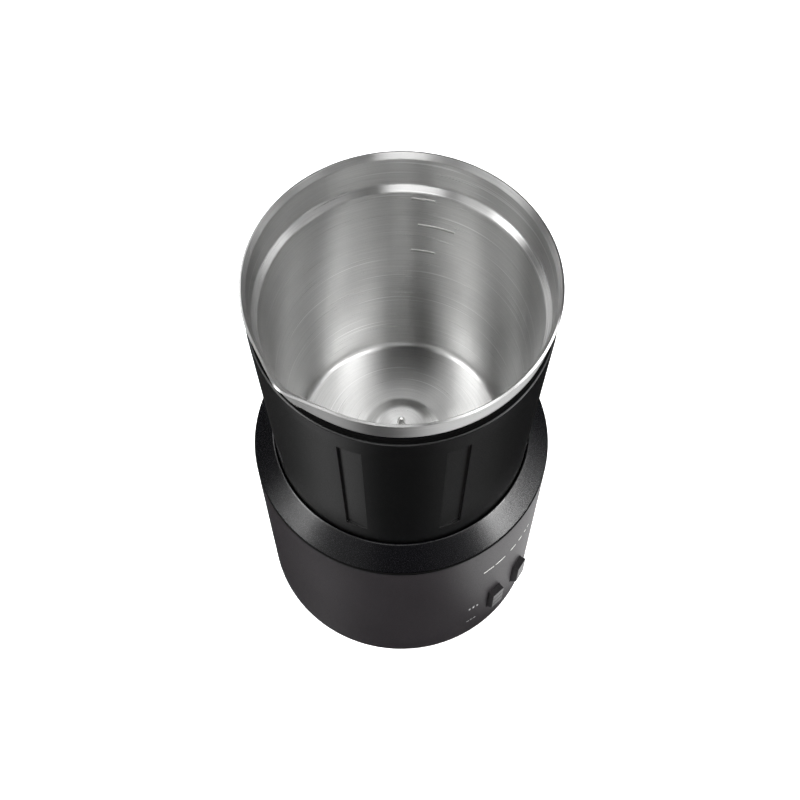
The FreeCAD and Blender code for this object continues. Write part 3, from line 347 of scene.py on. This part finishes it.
def brushed_steel(name, colour, roughness, anisotropy, streak=2600.0, contrast=0.2):
    """Steel brushed round its axis: streaks in colour, roughness and height, and a few long scratches."""
    material, tree, shader = new_material(name, roughness, 1.0, 0.5, colour)
    shader.inputs["Anisotropic"].default_value = anisotropy
    shader.inputs["Anisotropic Rotation"].default_value = 0.25
    round_axis = add(tree, "ShaderNodeTangent", {"direction_type": "RADIAL", "axis": "Z"})
    tree.links.new(round_axis.outputs["Tangent"], shader.inputs["Tangent"])
    lines = place_group(tree, BRUSHING, Streak_scale=streak)
    mixed = math_node(tree, "ADD", math_node(tree, "MULTIPLY", lines.outputs["Streak"], 0.75),
                      math_node(tree, "MULTIPLY", lines.outputs["Band"], 0.25))
    spread = add(tree, "ShaderNodeMapRange", None, mixed, 0.3, 0.7, 0.0, 1.0).outputs["Result"]
    shown = mix_colours(tree, spread, tuple(c * (1 - contrast) for c in colour),
                        tuple(min(1.0, c * (1 + contrast)) for c in colour))
    speckle = place_group(tree, GRAIN, Grain_scale=2200.0)
    shown = mix_colours(tree, math_node(tree, "MULTIPLY", speckle.outputs["Grain"], 0.3), shown,
                        tuple(0.6 * c for c in colour))
    shown = mix_colours(tree, lines.outputs["Scratch"], shown, (0.85, 0.85, 0.85))
    tree.links.new(shown, shader.inputs["Base Color"])
    rough = add(tree, "ShaderNodeMapRange", None, spread, 0.0, 1.0, roughness - 0.008, roughness + 0.012)
    tree.links.new(rough.outputs["Result"], shader.inputs["Roughness"])
    bump = add(tree, "ShaderNodeBump", None, Strength=0.3, Distance=0.0000009, Height=mixed)
    tree.links.new(bump.outputs["Normal"], shader.inputs["Normal"])
    return material


GRAIN = grain_group()
PAINTED_GAP_SHADOW = painted_gap_shadow_group()
DUST = dust_group()
BRUSHING = brushing_group()

finishes = {
    "brushed_steel_liner": brushed_steel("Brushed steel", (0.69, 0.69, 0.685), 0.28, 0.93, 3600.0, 0.11),
    "spindle_steel": brushed_steel("Turned steel", (0.66, 0.66, 0.65), 0.22, 0.4, 5000.0, 0.1),
    "plate_steel": brushed_steel("Plate steel", (0.48, 0.48, 0.47), 0.42, 0.3, 1800.0, 0.15),
    "screw_steel": worked("Zinc screws", (0.5, 0.5, 0.5), 0.35),
    "spring_steel": worked("Spring wire", (0.55, 0.55, 0.55), 0.28),
    "can_steel": worked("Motor can", (0.42, 0.42, 0.43), 0.38),
    "magnet_nickel": worked("Nickel plate", (0.7, 0.69, 0.66), 0.16),
    "sleeve_black": moulded("Sleeve plastic", (0.0018, 0.0018, 0.002), 0.34, 0.5, 2400.0, 0.00001, 0.0),
    "seal_black": moulded("Seal rubber", (0.0008, 0.0008, 0.0008), 0.8, 0.05, 1800.0, 0.00002, 0.0),
    "foot_black": moulded("Foot ring plastic", (0.012, 0.012, 0.012), 0.5, 0.4),
    # The housing paint has a painted shadow line near its top, for the shade in the gap where it meets the shoulder
    # ring.
    "housing_graphite": moulded("Housing paint", (0.020, 0.0175, 0.0195), 0.42, 0.12, 3000.0, 0.00001, 0.0,
                                seam=(0.1007, 0.103)),
    "collar_satin": moulded("Shoulder satin", (0.0006, 0.0006, 0.001), 0.23, 0.6, 4200.0, 0.0000005, 0.0),
    "well_black": moulded("Well plastic", (0.008, 0.008, 0.008), 0.42, 0.4),
    "cover_black": moulded("Cover plastic", (0.012, 0.012, 0.012), 0.55, 0.4, 1600.0, 0.00004),
    "button_black": moulded("Button plastic", (0.012, 0.011, 0.012), 0.35, 0.5, 3000.0, 0.00001, 0.0),
    "print_silver": worked("Silver print", (0.75, 0.75, 0.72), 0.4, 1600.0, 0.00001, 0.15, 0.1),
    "print_grey": moulded("Grey print", (0.3, 0.3, 0.3), 0.5, 0.4, 1800.0, 0.00001, 0.0),
    "cap_black": moulded("Switch plastic", (0.02, 0.02, 0.02), 0.45),
    "foot_rubber": moulded("Foot rubber", (0.02, 0.02, 0.02), 0.75, 0.3, 1400.0, 0.00005),
    "gland_rubber": moulded("Gland rubber", (0.012, 0.012, 0.012), 0.65, 0.3, 1400.0, 0.00004),
    "former_white": moulded("Natural nylon", (0.72, 0.7, 0.65), 0.45, 0.5, 1200.0, 0.00003, 0.1, 0.05),
    "coil_copper": worked("Enamelled copper", (0.72, 0.35, 0.2), 0.3),
    "ferrite_dark": worked("Ferrite", (0.06, 0.06, 0.065), 0.7, 700.0, 0.00004, 0.3, 0.2),
    "bush_bronze": worked("Sintered bronze", (0.6, 0.42, 0.22), 0.45),
    "board_green": moulded("Solder mask", (0.03, 0.16, 0.07), 0.3, 0.5, 700.0, 0.00002, 0.1),
    "capacitor_sleeve": moulded("Capacitor sleeve", (0.02, 0.03, 0.05), 0.25, 0.5, 500.0, 0.00002, 0.1),
    "sink_aluminium": worked("Extruded aluminium", (0.7, 0.7, 0.72), 0.34),
    "transformer_yellow": moulded("Winding tape", (0.75, 0.6, 0.15), 0.4, 0.5, 300.0, 0.00005, 0.1, 0.1),
    "terminal_green": moulded("Terminal plastic", (0.05, 0.3, 0.12), 0.4, 0.5, 900.0, 0.00002, 0.1),
    "lead_red": moulded("Red lead", (0.45, 0.03, 0.02), 0.45, 0.5, 900.0, 0.00002, 0.1, 0.1),
    "lead_white": moulded("White lead", (0.7, 0.7, 0.7), 0.45, 0.5, 900.0, 0.00002, 0.1, 0.05),
    "lead_grey": moulded("Ribbon cable", (0.4, 0.4, 0.42), 0.45, 0.5, 900.0, 0.00002, 0.1, 0.1),
}
for node in nodes.values():
    for holder in node.material_slots:
        holder.material = finishes[holder.material.name.split(".")[0]]

# ---------------------------------------------------------------- modelling tools

MM = 0.001


def start_piece(name, primitive, **sizes):
    """A primitive in edit mode to shape a new piece from."""
    bpy.ops.object.select_all(action="DESELECT")
    getattr(bpy.ops.mesh, f"primitive_{primitive}_add")(**sizes)
    piece = bpy.context.object
    piece.name = piece.data.name = name
    bpy.ops.object.mode_set(mode="EDIT")
    bpy.ops.mesh.select_mode(type="VERT")
    return piece


def choose(piece, kind, test):
    """Selects the vertices, edges or faces whose middle passes a test, and nothing else."""
    bpy.ops.object.mode_set(mode="EDIT")
    bpy.ops.mesh.select_mode(type={"vertices": "VERT", "edges": "EDGE", "polygons": "FACE"}[kind])
    bpy.ops.mesh.select_all(action="DESELECT")
    bpy.ops.object.mode_set(mode="OBJECT")
    points = piece.data.vertices
    for item in getattr(piece.data, kind):
        if kind == "vertices":
            item.select = test(item.co)
        elif kind == "edges":
            item.select = test((points[item.vertices[0]].co + points[item.vertices[1]].co) / 2)
        else:
            item.select = test(item.center)
    bpy.ops.object.mode_set(mode="EDIT")


def end_piece(piece, smooth=32):
    """Merges doubles, turns the faces outwards, smooths by angle and puts the place into the mesh."""
    bpy.ops.object.mode_set(mode="EDIT")
    bpy.ops.mesh.select_all(action="SELECT")
    bpy.ops.mesh.remove_doubles(threshold=1e-6)
    bpy.ops.mesh.normals_make_consistent(inside=False)
    bpy.ops.object.mode_set(mode="OBJECT")
    bpy.ops.object.select_all(action="DESELECT")
    piece.select_set(True)
    bpy.context.view_layer.objects.active = piece
    bpy.ops.object.transform_apply(location=True, rotation=True, scale=True)
    bpy.ops.object.shade_smooth_by_angle(angle=math.radians(smooth))
    return piece


def draw_profile(name, corners, closed):
    """A line in the XZ plane through (radius, height, rounding) corners in millimetres, rounded where asked."""
    points = [Vector((r, 0, z)) * MM for r, z, _ in corners]
    piece = start_piece(name, "plane", size=MM)
    bpy.ops.mesh.merge(type="CENTER")
    bpy.ops.transform.translate(value=points[0])
    for here, there in zip(points, points[1:] + (points[:1] if closed else [])):
        bpy.ops.mesh.extrude_region_move(TRANSFORM_OT_translate={"value": there - here})
    bpy.ops.mesh.select_all(action="SELECT")
    bpy.ops.mesh.remove_doubles(threshold=1e-7)
    for i, (r, z, rounding) in enumerate(corners):
        if rounding:
            corner = points[i]
            before = corner - points[i - 1]
            after = points[(i + 1) % len(points)] - corner
            run = rounding * MM * math.tan(before.angle(after) / 2)
            choose(piece, "vertices", lambda co: (co - corner).length < 1e-6)
            bpy.ops.mesh.bevel(offset=run, offset_type="OFFSET", segments=6, affect="VERTICES", profile=0.5)
    bpy.ops.mesh.select_all(action="SELECT")
    return piece


def spin(steps, turn=360.0):
    bpy.ops.mesh.spin(steps=steps, angle=math.radians(turn), center=(0, 0, 0), axis=(0, 0, 1))
    bpy.ops.mesh.select_all(action="SELECT")
    bpy.ops.mesh.remove_doubles(threshold=1e-6)


def turned_piece(name, corners, steps=192):
    """A profile turned round the axis. It closes on itself, unless both its ends are on the axis."""
    piece = draw_profile(name, corners, corners[0][0] > 0)
    spin(steps)
    return end_piece(piece)


def modify(piece, kind, **settings):
    """Adds a modifier and applies it."""
    modifier = piece.modifiers.new(kind.title(), kind)
    for name, value in settings.items():
        setattr(modifier, name, value)
    bpy.ops.object.select_all(action="DESELECT")
    bpy.context.view_layer.objects.active = piece
    bpy.ops.object.modifier_apply(modifier=modifier.name)


def fit(piece, body, finish, *replaced):
    """Gives a piece its finish, its body and the CAD nodes that it stands for."""
    piece.data.materials.clear()
    piece.data.materials.append(finishes[finish])
    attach(piece, body)
    if replaced:
        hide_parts(*replaced)
    return piece


def turn_of(co):
    """The angle of a point round the axis, in degrees from +X towards +Y."""
    return math.degrees(math.atan2(co.y, co.x))


def off_angle(angle, middle):
    return (angle - middle + 180) % 360 - 180


# ---------------------------------------------------------------- jug

FLOOR_Z = 103.8
FLOOR_RADIUS = 42.2
HUB_Z = 107.8
NECK_Z = 205.9
RIM_Z = 218.9
RIM_RADIUS = 52.8
STEEL = 0.8
WALL_TOP_RADIUS = 49.1
WALL_TOP_Z = 200.2
SPOUT_ANGLE = 176.0
SPOUT_HALF_ANGLE = 20.5
SPOUT_TIP_ROUND = 9.0


def spout_reach(angle):
    """How far the rim stands out of its circle at an angle: two straight runs to a rounded tip."""
    half = math.radians(SPOUT_HALF_ANGLE)
    off = abs(math.radians(off_angle(angle, SPOUT_ANGLE)))
    if off >= half:
        return 0.0
    straight = RIM_RADIUS / math.cos(half - off)
    centre = (RIM_RADIUS - SPOUT_TIP_ROUND) / math.cos(half)
    across = SPOUT_TIP_ROUND ** 2 - (centre * math.sin(off)) ** 2
    tip = centre * math.cos(off) + math.sqrt(across) if across > 0 else straight
    past_tip = off > math.atan2(SPOUT_TIP_ROUND * math.sin(half), centre + SPOUT_TIP_ROUND * math.cos(half))
    return (straight if past_tip else tip) - RIM_RADIUS


def make_steel_jug():
    """The drawn steel jug: a skin turned from its inside line, its mouth pulled out to a spout, then given its wall."""
    jug = draw_profile("steel_jug", [
        (0.0, HUB_Z, 0),
        (11.0, HUB_Z, 3.2),
        (15.6, FLOOR_Z, 2.4),
        (FLOOR_RADIUS, FLOOR_Z, 3.0),
        (WALL_TOP_RADIUS, WALL_TOP_Z, 2.0),
        (51.5, 203.0, 1.8),
        (51.65, 216.4, 1.4),
        (RIM_RADIUS + 0.2, RIM_Z, 0),
    ], False)
    # The straight wall, between its two rounded ends.
    choose(jug, "edges", lambda co: 0.106 < co.z < 0.199 and co.x > 0.03)
    bpy.ops.mesh.subdivide(number_cuts=8)
    bpy.ops.mesh.select_all(action="SELECT")
    spin(240)
    bpy.ops.mesh.normals_make_consistent(inside=False)
    bpy.ops.object.mode_set(mode="OBJECT")
    for point in jug.data.vertices:
        share = max(0.0, (point.co.z / MM - NECK_Z) / (RIM_Z - NECK_Z))
        radius = math.hypot(point.co.x, point.co.y)
        if share and radius:
            grow = 1 + spout_reach(turn_of(point.co)) * MM * share ** 2 / radius
            point.co.x *= grow
            point.co.y *= grow
    wall = next(face for face in jug.data.polygons if 0.12 < face.center.z < 0.19)
    outwards = 1 if wall.normal.xy.dot(wall.center.xy) > 0 else -1
    modify(jug, "SOLIDIFY", thickness=STEEL * MM, offset=outwards, use_even_offset=True)
    end_piece(jug, 40)
    modify(jug, "BEVEL", width=0.18 * MM, segments=2, limit_method="ANGLE", angle_limit=math.radians(60))
    fit(jug, "jug", "brushed_steel_liner", "jug_liner")
    bpy.ops.object.shade_smooth_by_angle(angle=math.radians(50))
    return jug


WHISK_TIP_Z = 117.8


def make_whisk_post():
    """The post that the whisk drops on: a collar on the hub, a groove for its clip, and a turned tip."""
    post = turned_piece("whisk_post", [
        (0.0, HUB_Z, 0),
        (2.8, HUB_Z, 0),
        (2.8, HUB_Z + 0.8, 0.25),
        (1.6, HUB_Z + 0.8, 0.15),
        (1.6, HUB_Z + 6.2, 0.08),
        (1.25, HUB_Z + 6.5, 0.08),
        (1.25, HUB_Z + 7.1, 0.08),
        (1.6, HUB_Z + 7.4, 0.1),
        (1.6, WHISK_TIP_Z - 2.0, 0.4),
        (0.7, WHISK_TIP_Z, 0.3),
        (0.0, WHISK_TIP_Z, 0),
    ], 48)
    fit(post, "jug", "spindle_steel", "whisk_spindle")


SLEEVE_FOOT = (50.13, 99.6)
SLEEVE_TOP = (53.4, 204.0)
SLEEVE_WALL = 2.3
GRIP_MIDDLES = (41.0, 131.0, 221.0, 311.0)
GRIP_INNER_ANGLE = 15.7
GRIP_OUTER_ANGLE = 25.0
GRIP_BOTTOM_Z = 122.5
GRIP_TOP_Z = 193.5
GRIP_DEPTH = 1.2
GRIP_LIP = 0.16


def grip_share(co):
    """How far across a grip a point is, from 0 at its inner edge to 1 at its outer edge, or None outside the grips."""
    if not (GRIP_BOTTOM_Z * MM - 1e-6 < co.z < GRIP_TOP_Z * MM + 1e-6):
        return None
    across = [abs(off_angle(turn_of(co), middle)) for middle in GRIP_MIDDLES]
    off = min(across)
    if not GRIP_INNER_ANGLE - 0.01 < off < GRIP_OUTER_ANGLE + 0.01:
        return None
    return (off - GRIP_INNER_ANGLE) / (GRIP_OUTER_ANGLE - GRIP_INNER_ANGLE)


def make_sleeve():
    """The black sleeve: turned, cut along the grips' edges, and each grip pressed in deeper towards its outer edge."""
    sleeve = draw_profile("grip_sleeve", [
        (SLEEVE_FOOT[0] - SLEEVE_WALL, SLEEVE_FOOT[1], 0.3),
        (SLEEVE_FOOT[0], SLEEVE_FOOT[1], 0.5),
        (SLEEVE_TOP[0], SLEEVE_TOP[1], 0.7),
        (SLEEVE_TOP[0] - 1.8, SLEEVE_TOP[1], 0.2),
        (SLEEVE_TOP[0] - 1.8, SLEEVE_TOP[1] - 6.0, 0.3),
        (SLEEVE_TOP[0] - SLEEVE_WALL, SLEEVE_TOP[1] - 9.0, 0.3),
    ], True)
    spin(192)
    # A cut goes right across, so the first two middles serve all four.
    for middle in GRIP_MIDDLES[:2]:
        for edge in (-GRIP_OUTER_ANGLE, -GRIP_INNER_ANGLE, GRIP_INNER_ANGLE, GRIP_OUTER_ANGLE):
            turn = math.radians(middle + edge)
            bpy.ops.mesh.select_all(action="SELECT")
            bpy.ops.mesh.bisect(plane_co=(0, 0, 0), plane_no=(-math.sin(turn), math.cos(turn), 0))
    for level in (GRIP_BOTTOM_Z, GRIP_TOP_Z):
        bpy.ops.mesh.select_all(action="SELECT")
        bpy.ops.mesh.bisect(plane_co=(0, 0, level * MM), plane_no=(0, 0, 1))
    bpy.ops.mesh.select_all(action="SELECT")
    bpy.ops.mesh.remove_doubles(threshold=1e-6)
    bpy.ops.mesh.normals_make_consistent(inside=False)
    outside = (SLEEVE_FOOT[0] - 0.5) * MM
    choose(sleeve, "polygons", lambda co: grip_share(co) is not None and math.hypot(co.x, co.y) > outside)
    bpy.ops.mesh.extrude_region_move()
    bpy.ops.object.mode_set(mode="OBJECT")
    for point in sleeve.data.vertices:
        if point.select:
            share = grip_share(point.co)
            radius = math.hypot(point.co.x, point.co.y)
            press = (GRIP_LIP + (GRIP_DEPTH - GRIP_LIP) * share) * MM
            point.co.x *= (radius - press) / radius
            point.co.y *= (radius - press) / radius
    end_piece(sleeve, 30)
    modify(sleeve, "BEVEL", width=0.14 * MM, segments=2, limit_method="ANGLE", angle_limit=math.radians(35))
    bpy.ops.object.shade_smooth_by_angle(angle=math.radians(45))
    fit(sleeve, "jug", "sleeve_black", "jug_sleeve")


def make_rim_seal():
    """The rubber ring under the steel rim, with a shallow groove round it."""
    seal = turned_piece("rim_seal_ring", [
        (51.85, 204.0, 0.1),
        (52.7, 204.0, 0.25),
        (52.7, 205.9, 0.12),
        (52.5, 206.2, 0.12),
        (52.7, 206.5, 0.12),
        (52.7, 208.1, 0.25),
        (52.4, 208.6, 0.15),
    ], 240)
    fit(seal, "jug", "seal_black", "rim_seal")


# ---------------------------------------------------------------- control panel

BASE_RADIUS = 60.0
KEY_WIDTH = 6.1
KEY_FOOT_Z = 18.5
KEY_TOP_Z = 41.7
KEY_FACE = 62.8
KEY_BACK = BASE_RADIUS - 3.5
KEY_SLOPE_END = BASE_RADIUS - 2.5
KEY_SLOPE = 8.3
KEY_LINES = (12.6, 18.2)
KEY_LINE_WIDTH = 0.5
KEY_LINE_DEPTH = 0.15
STEM_END = BASE_RADIUS - 3.45
KEY_ANGLES = {"left": -97.6, "right": -82.4}


def make_key(side):
    """A button: a block whose lower end slopes back into the wall, with soft edges and two fine lines across its face.

    The flange and the stem behind it are a copy of the CAD button's.
    """
    face = (KEY_FACE - 0.1) * MM
    key = start_piece(f"{side}_key", "cube", size=1)
    bpy.ops.transform.resize(value=((KEY_FACE - KEY_BACK) * MM, KEY_WIDTH * MM, (KEY_TOP_Z - KEY_FOOT_Z) * MM))
    bpy.ops.transform.translate(value=((KEY_FACE + KEY_BACK) / 2 * MM, 0, (KEY_TOP_Z + KEY_FOOT_Z) / 2 * MM))
    line_edges = [edge for low in KEY_LINES for edge in (low, low + KEY_LINE_WIDTH)]
    for level in [KEY_SLOPE] + line_edges:
        bpy.ops.mesh.select_all(action="SELECT")
        bpy.ops.mesh.bisect(plane_co=(0, 0, (KEY_FOOT_Z + level) * MM), plane_no=(0, 0, 1))
    choose(key, "vertices", lambda co: co.x > face and co.z < (KEY_FOOT_Z + 0.1) * MM)
    bpy.ops.transform.translate(value=((KEY_SLOPE_END - KEY_FACE) * MM, 0, 0))
    choose(key, "polygons", lambda co: co.x > face and any(
        low < co.z / MM - KEY_FOOT_Z < low + KEY_LINE_WIDTH for low in KEY_LINES))
    bpy.ops.mesh.extrude_region_move(TRANSFORM_OT_translate={"value": (-KEY_LINE_DEPTH * MM, 0, 0)})
    end_piece(key, 30)
    modify(key, "BEVEL", width=0.22 * MM, segments=3, limit_method="ANGLE", angle_limit=math.radians(28))
    turn = Matrix.Rotation(math.radians(KEY_ANGLES[side]), 4, "Z")
    key.data.transform(turn)
    stem = bpy.data.objects.new("stem", nodes[f"button_{side}"].data.copy())
    scene.collection.objects.link(stem)
    bpy.context.view_layer.objects.active = stem
    end_piece(stem)
    outward = turn @ Vector((1, 0, 0))
    bpy.ops.object.mode_set(mode="EDIT")
    bpy.ops.mesh.select_all(action="SELECT")
    bpy.ops.mesh.bisect(plane_co=outward * STEM_END * MM, plane_no=outward, use_fill=True, clear_outer=True)
    bpy.ops.object.mode_set(mode="OBJECT")
    key = join_pieces(f"{side}_key", [key, stem])
    bpy.ops.object.shade_smooth_by_angle(angle=math.radians(40))
    return fit(key, f"{side}_button", "button_black", f"button_{side}")


def curved_bar(name, corners, start, end):
    """A closed bar: a profile swept round the axis from one angle to another."""
    bar = draw_profile(name, corners, True)
    bpy.ops.mesh.edge_face_add()
    bpy.ops.mesh.spin(steps=max(2, round((end - start) / 0.8)), angle=math.radians(end - start),
                      center=(0, 0, 0), axis=(0, 0, 1))
    end_piece(bar)
    bar.data.transform(Matrix.Rotation(math.radians(start), 4, "Z"))
    return bar


def join_pieces(name, pieces):
    """One piece of several that share a finish."""
    bpy.ops.object.select_all(action="DESELECT")
    for piece in pieces:
        piece.select_set(True)
    bpy.context.view_layer.objects.active = pieces[0]
    bpy.ops.object.join()
    whole = bpy.context.object
    whole.name = whole.data.name = name
    return whole


STRIPE_RUNS = ((259.5, 264.5), (265.7, 271.0), (272.2, 275.4), (276.6, 278.8), (280.0, 281.4), (282.6, 284.0))
STRIPE_HEIGHTS = (73.6, 74.5)
SIGN_ANGLE = 250.2
STROKE_STEP, STROKE_WIDTH = 1.9, 0.75
STROKE_FOOT_Z, STROKE_TOP_Z = 34.2, 36.8
DASH_STEP, DASH_WIDTH = 1.7, 1.0
DASH_HEIGHTS = (18.6, 19.5)
PRINT_DEPTH = 0.05


def make_prints():
    """The pale prints on the wall: a broken stripe, and three strokes over three dashes beside the left button."""
    def bar(start, width, low, high):
        inner, outer = BASE_RADIUS - PRINT_DEPTH, BASE_RADIUS + PRINT_DEPTH
        return curved_bar("print", [(inner, low, 0), (outer, low, 0), (outer, high, 0), (inner, high, 0)],
                          start, start + width)

    stripe = [bar(start, end - start, *STRIPE_HEIGHTS) for start, end in STRIPE_RUNS]
    fit(join_pieces("panel_stripe", stripe), "base", "print_silver")
    signs = [bar(SIGN_ANGLE + STROKE_STEP * i, STROKE_WIDTH, STROKE_FOOT_Z, STROKE_TOP_Z - 0.6 * abs(i - 1))
             for i in range(3)]
    signs += [bar(SIGN_ANGLE + DASH_STEP * i, DASH_WIDTH, *DASH_HEIGHTS) for i in range(3)]
    fit(join_pieces("button_signs", signs), "base", "print_grey")


LEVEL_ANGLE = 41.0
LEVEL_MARKS = ((167.7, 9.0), (182.9, 14.0), (197.4, 9.0))
LEVEL_HALF_HEIGHT = 0.65
LEVEL_EMBOSS = 0.3


def make_level_marks():
    """Three embossed fill lines on the wall inside the jug, the middle one longer."""
    bars = []
    lean = (WALL_TOP_RADIUS - FLOOR_RADIUS) / (WALL_TOP_Z - FLOOR_Z)
    for level, width in LEVEL_MARKS:
        low, high = level - LEVEL_HALF_HEIGHT, level + LEVEL_HALF_HEIGHT
        wall_low, wall_high = (FLOOR_RADIUS + (z - FLOOR_Z) * lean for z in (low, high))
        half = math.degrees(width / 2 / wall_low)
        bars.append(curved_bar("level", [
            (wall_low + 0.2, low, 0),
            (wall_high + 0.2, high, 0),
            (wall_high - LEVEL_EMBOSS, high, 0.28),
            (wall_low - LEVEL_EMBOSS, low, 0.28),
        ], LEVEL_ANGLE - half, LEVEL_ANGLE + half))
    fit(join_pieces("level_marks", bars), "jug", "plate_steel")


def make_spring_coils():
    """The return springs of the sensor and the buttons, copied from the CAD springs that the joints list."""
    for joint in frame["joints"]:
        for spring in joint.get("deforming_nodes", []):
            coil = bpy.data.objects.new(spring["node"] + "_coil", nodes[spring["node"]].data.copy())
            scene.collection.objects.link(coil)
            bpy.context.view_layer.objects.active = coil
            end_piece(coil)
            fit(coil, "base", "spring_steel", spring["node"])
            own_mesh(coil)


make_camera()
make_world()
make_floor()
steel_jug = make_steel_jug()
make_whisk_post()
make_sleeve()
make_rim_seal()
make_level_marks()
make_spring_coils()
keys = [make_key(side) for side in KEY_ANGLES]
make_prints()
shoulder = [nodes["shoulder_ring"]]
all_but_jug = [piece for piece in scene.objects if piece.type == "MESH" and piece is not steel_jug]
# Azimuth from the camera's, elevation or reach, width, height, power, and the pieces it lights if not all.
softbox("Right high softbox", 60, 66, 0.4, 0.6, 4.4)
softbox("Right softbox", 95, 45, 0.6, 0.9, 8.5)
softbox("Right low softbox", 68, 20, 0.8, 0.6, 14, all_but_jug)
softbox("Left softbox", -77, 46, 0.5, 0.9, 12)
softbox("Left high softbox", -90, 66, 0.4, 0.5, 1.5)
softbox("Left front softbox", -45, 45, 0.4, 0.9, 1.2)
softbox("Left low softbox", -65, 22, 0.6, 0.6, 4.5, all_but_jug)
softbox("Back left softbox", -135, 45, 0.8, 0.8, 8)
softbox("Back softbox", 180, 66, 0.3, 0.6, 2.8)
softbox("Front softbox", -9, 39, 0.8, 0.35, 5)
softbox("Lip softbox", 0, 8, 0.8, 0.35, 3, [steel_jug])
softbox("Shoulder right softbox", 80, 15, 1.3, 0.4, 55, shoulder)
softbox("Shoulder left softbox", -66, 16, 0.5, 0.4, 13, shoulder)
table_card("Rim card", 62, 0.19, 0.5, 0.16, 0.3, [steel_jug])
table_card("Base card", 82, 0.105, 0.2, 0.09, 0.09, [nodes["base_housing"]] + keys)
scene.view_settings.view_transform = "Standard"
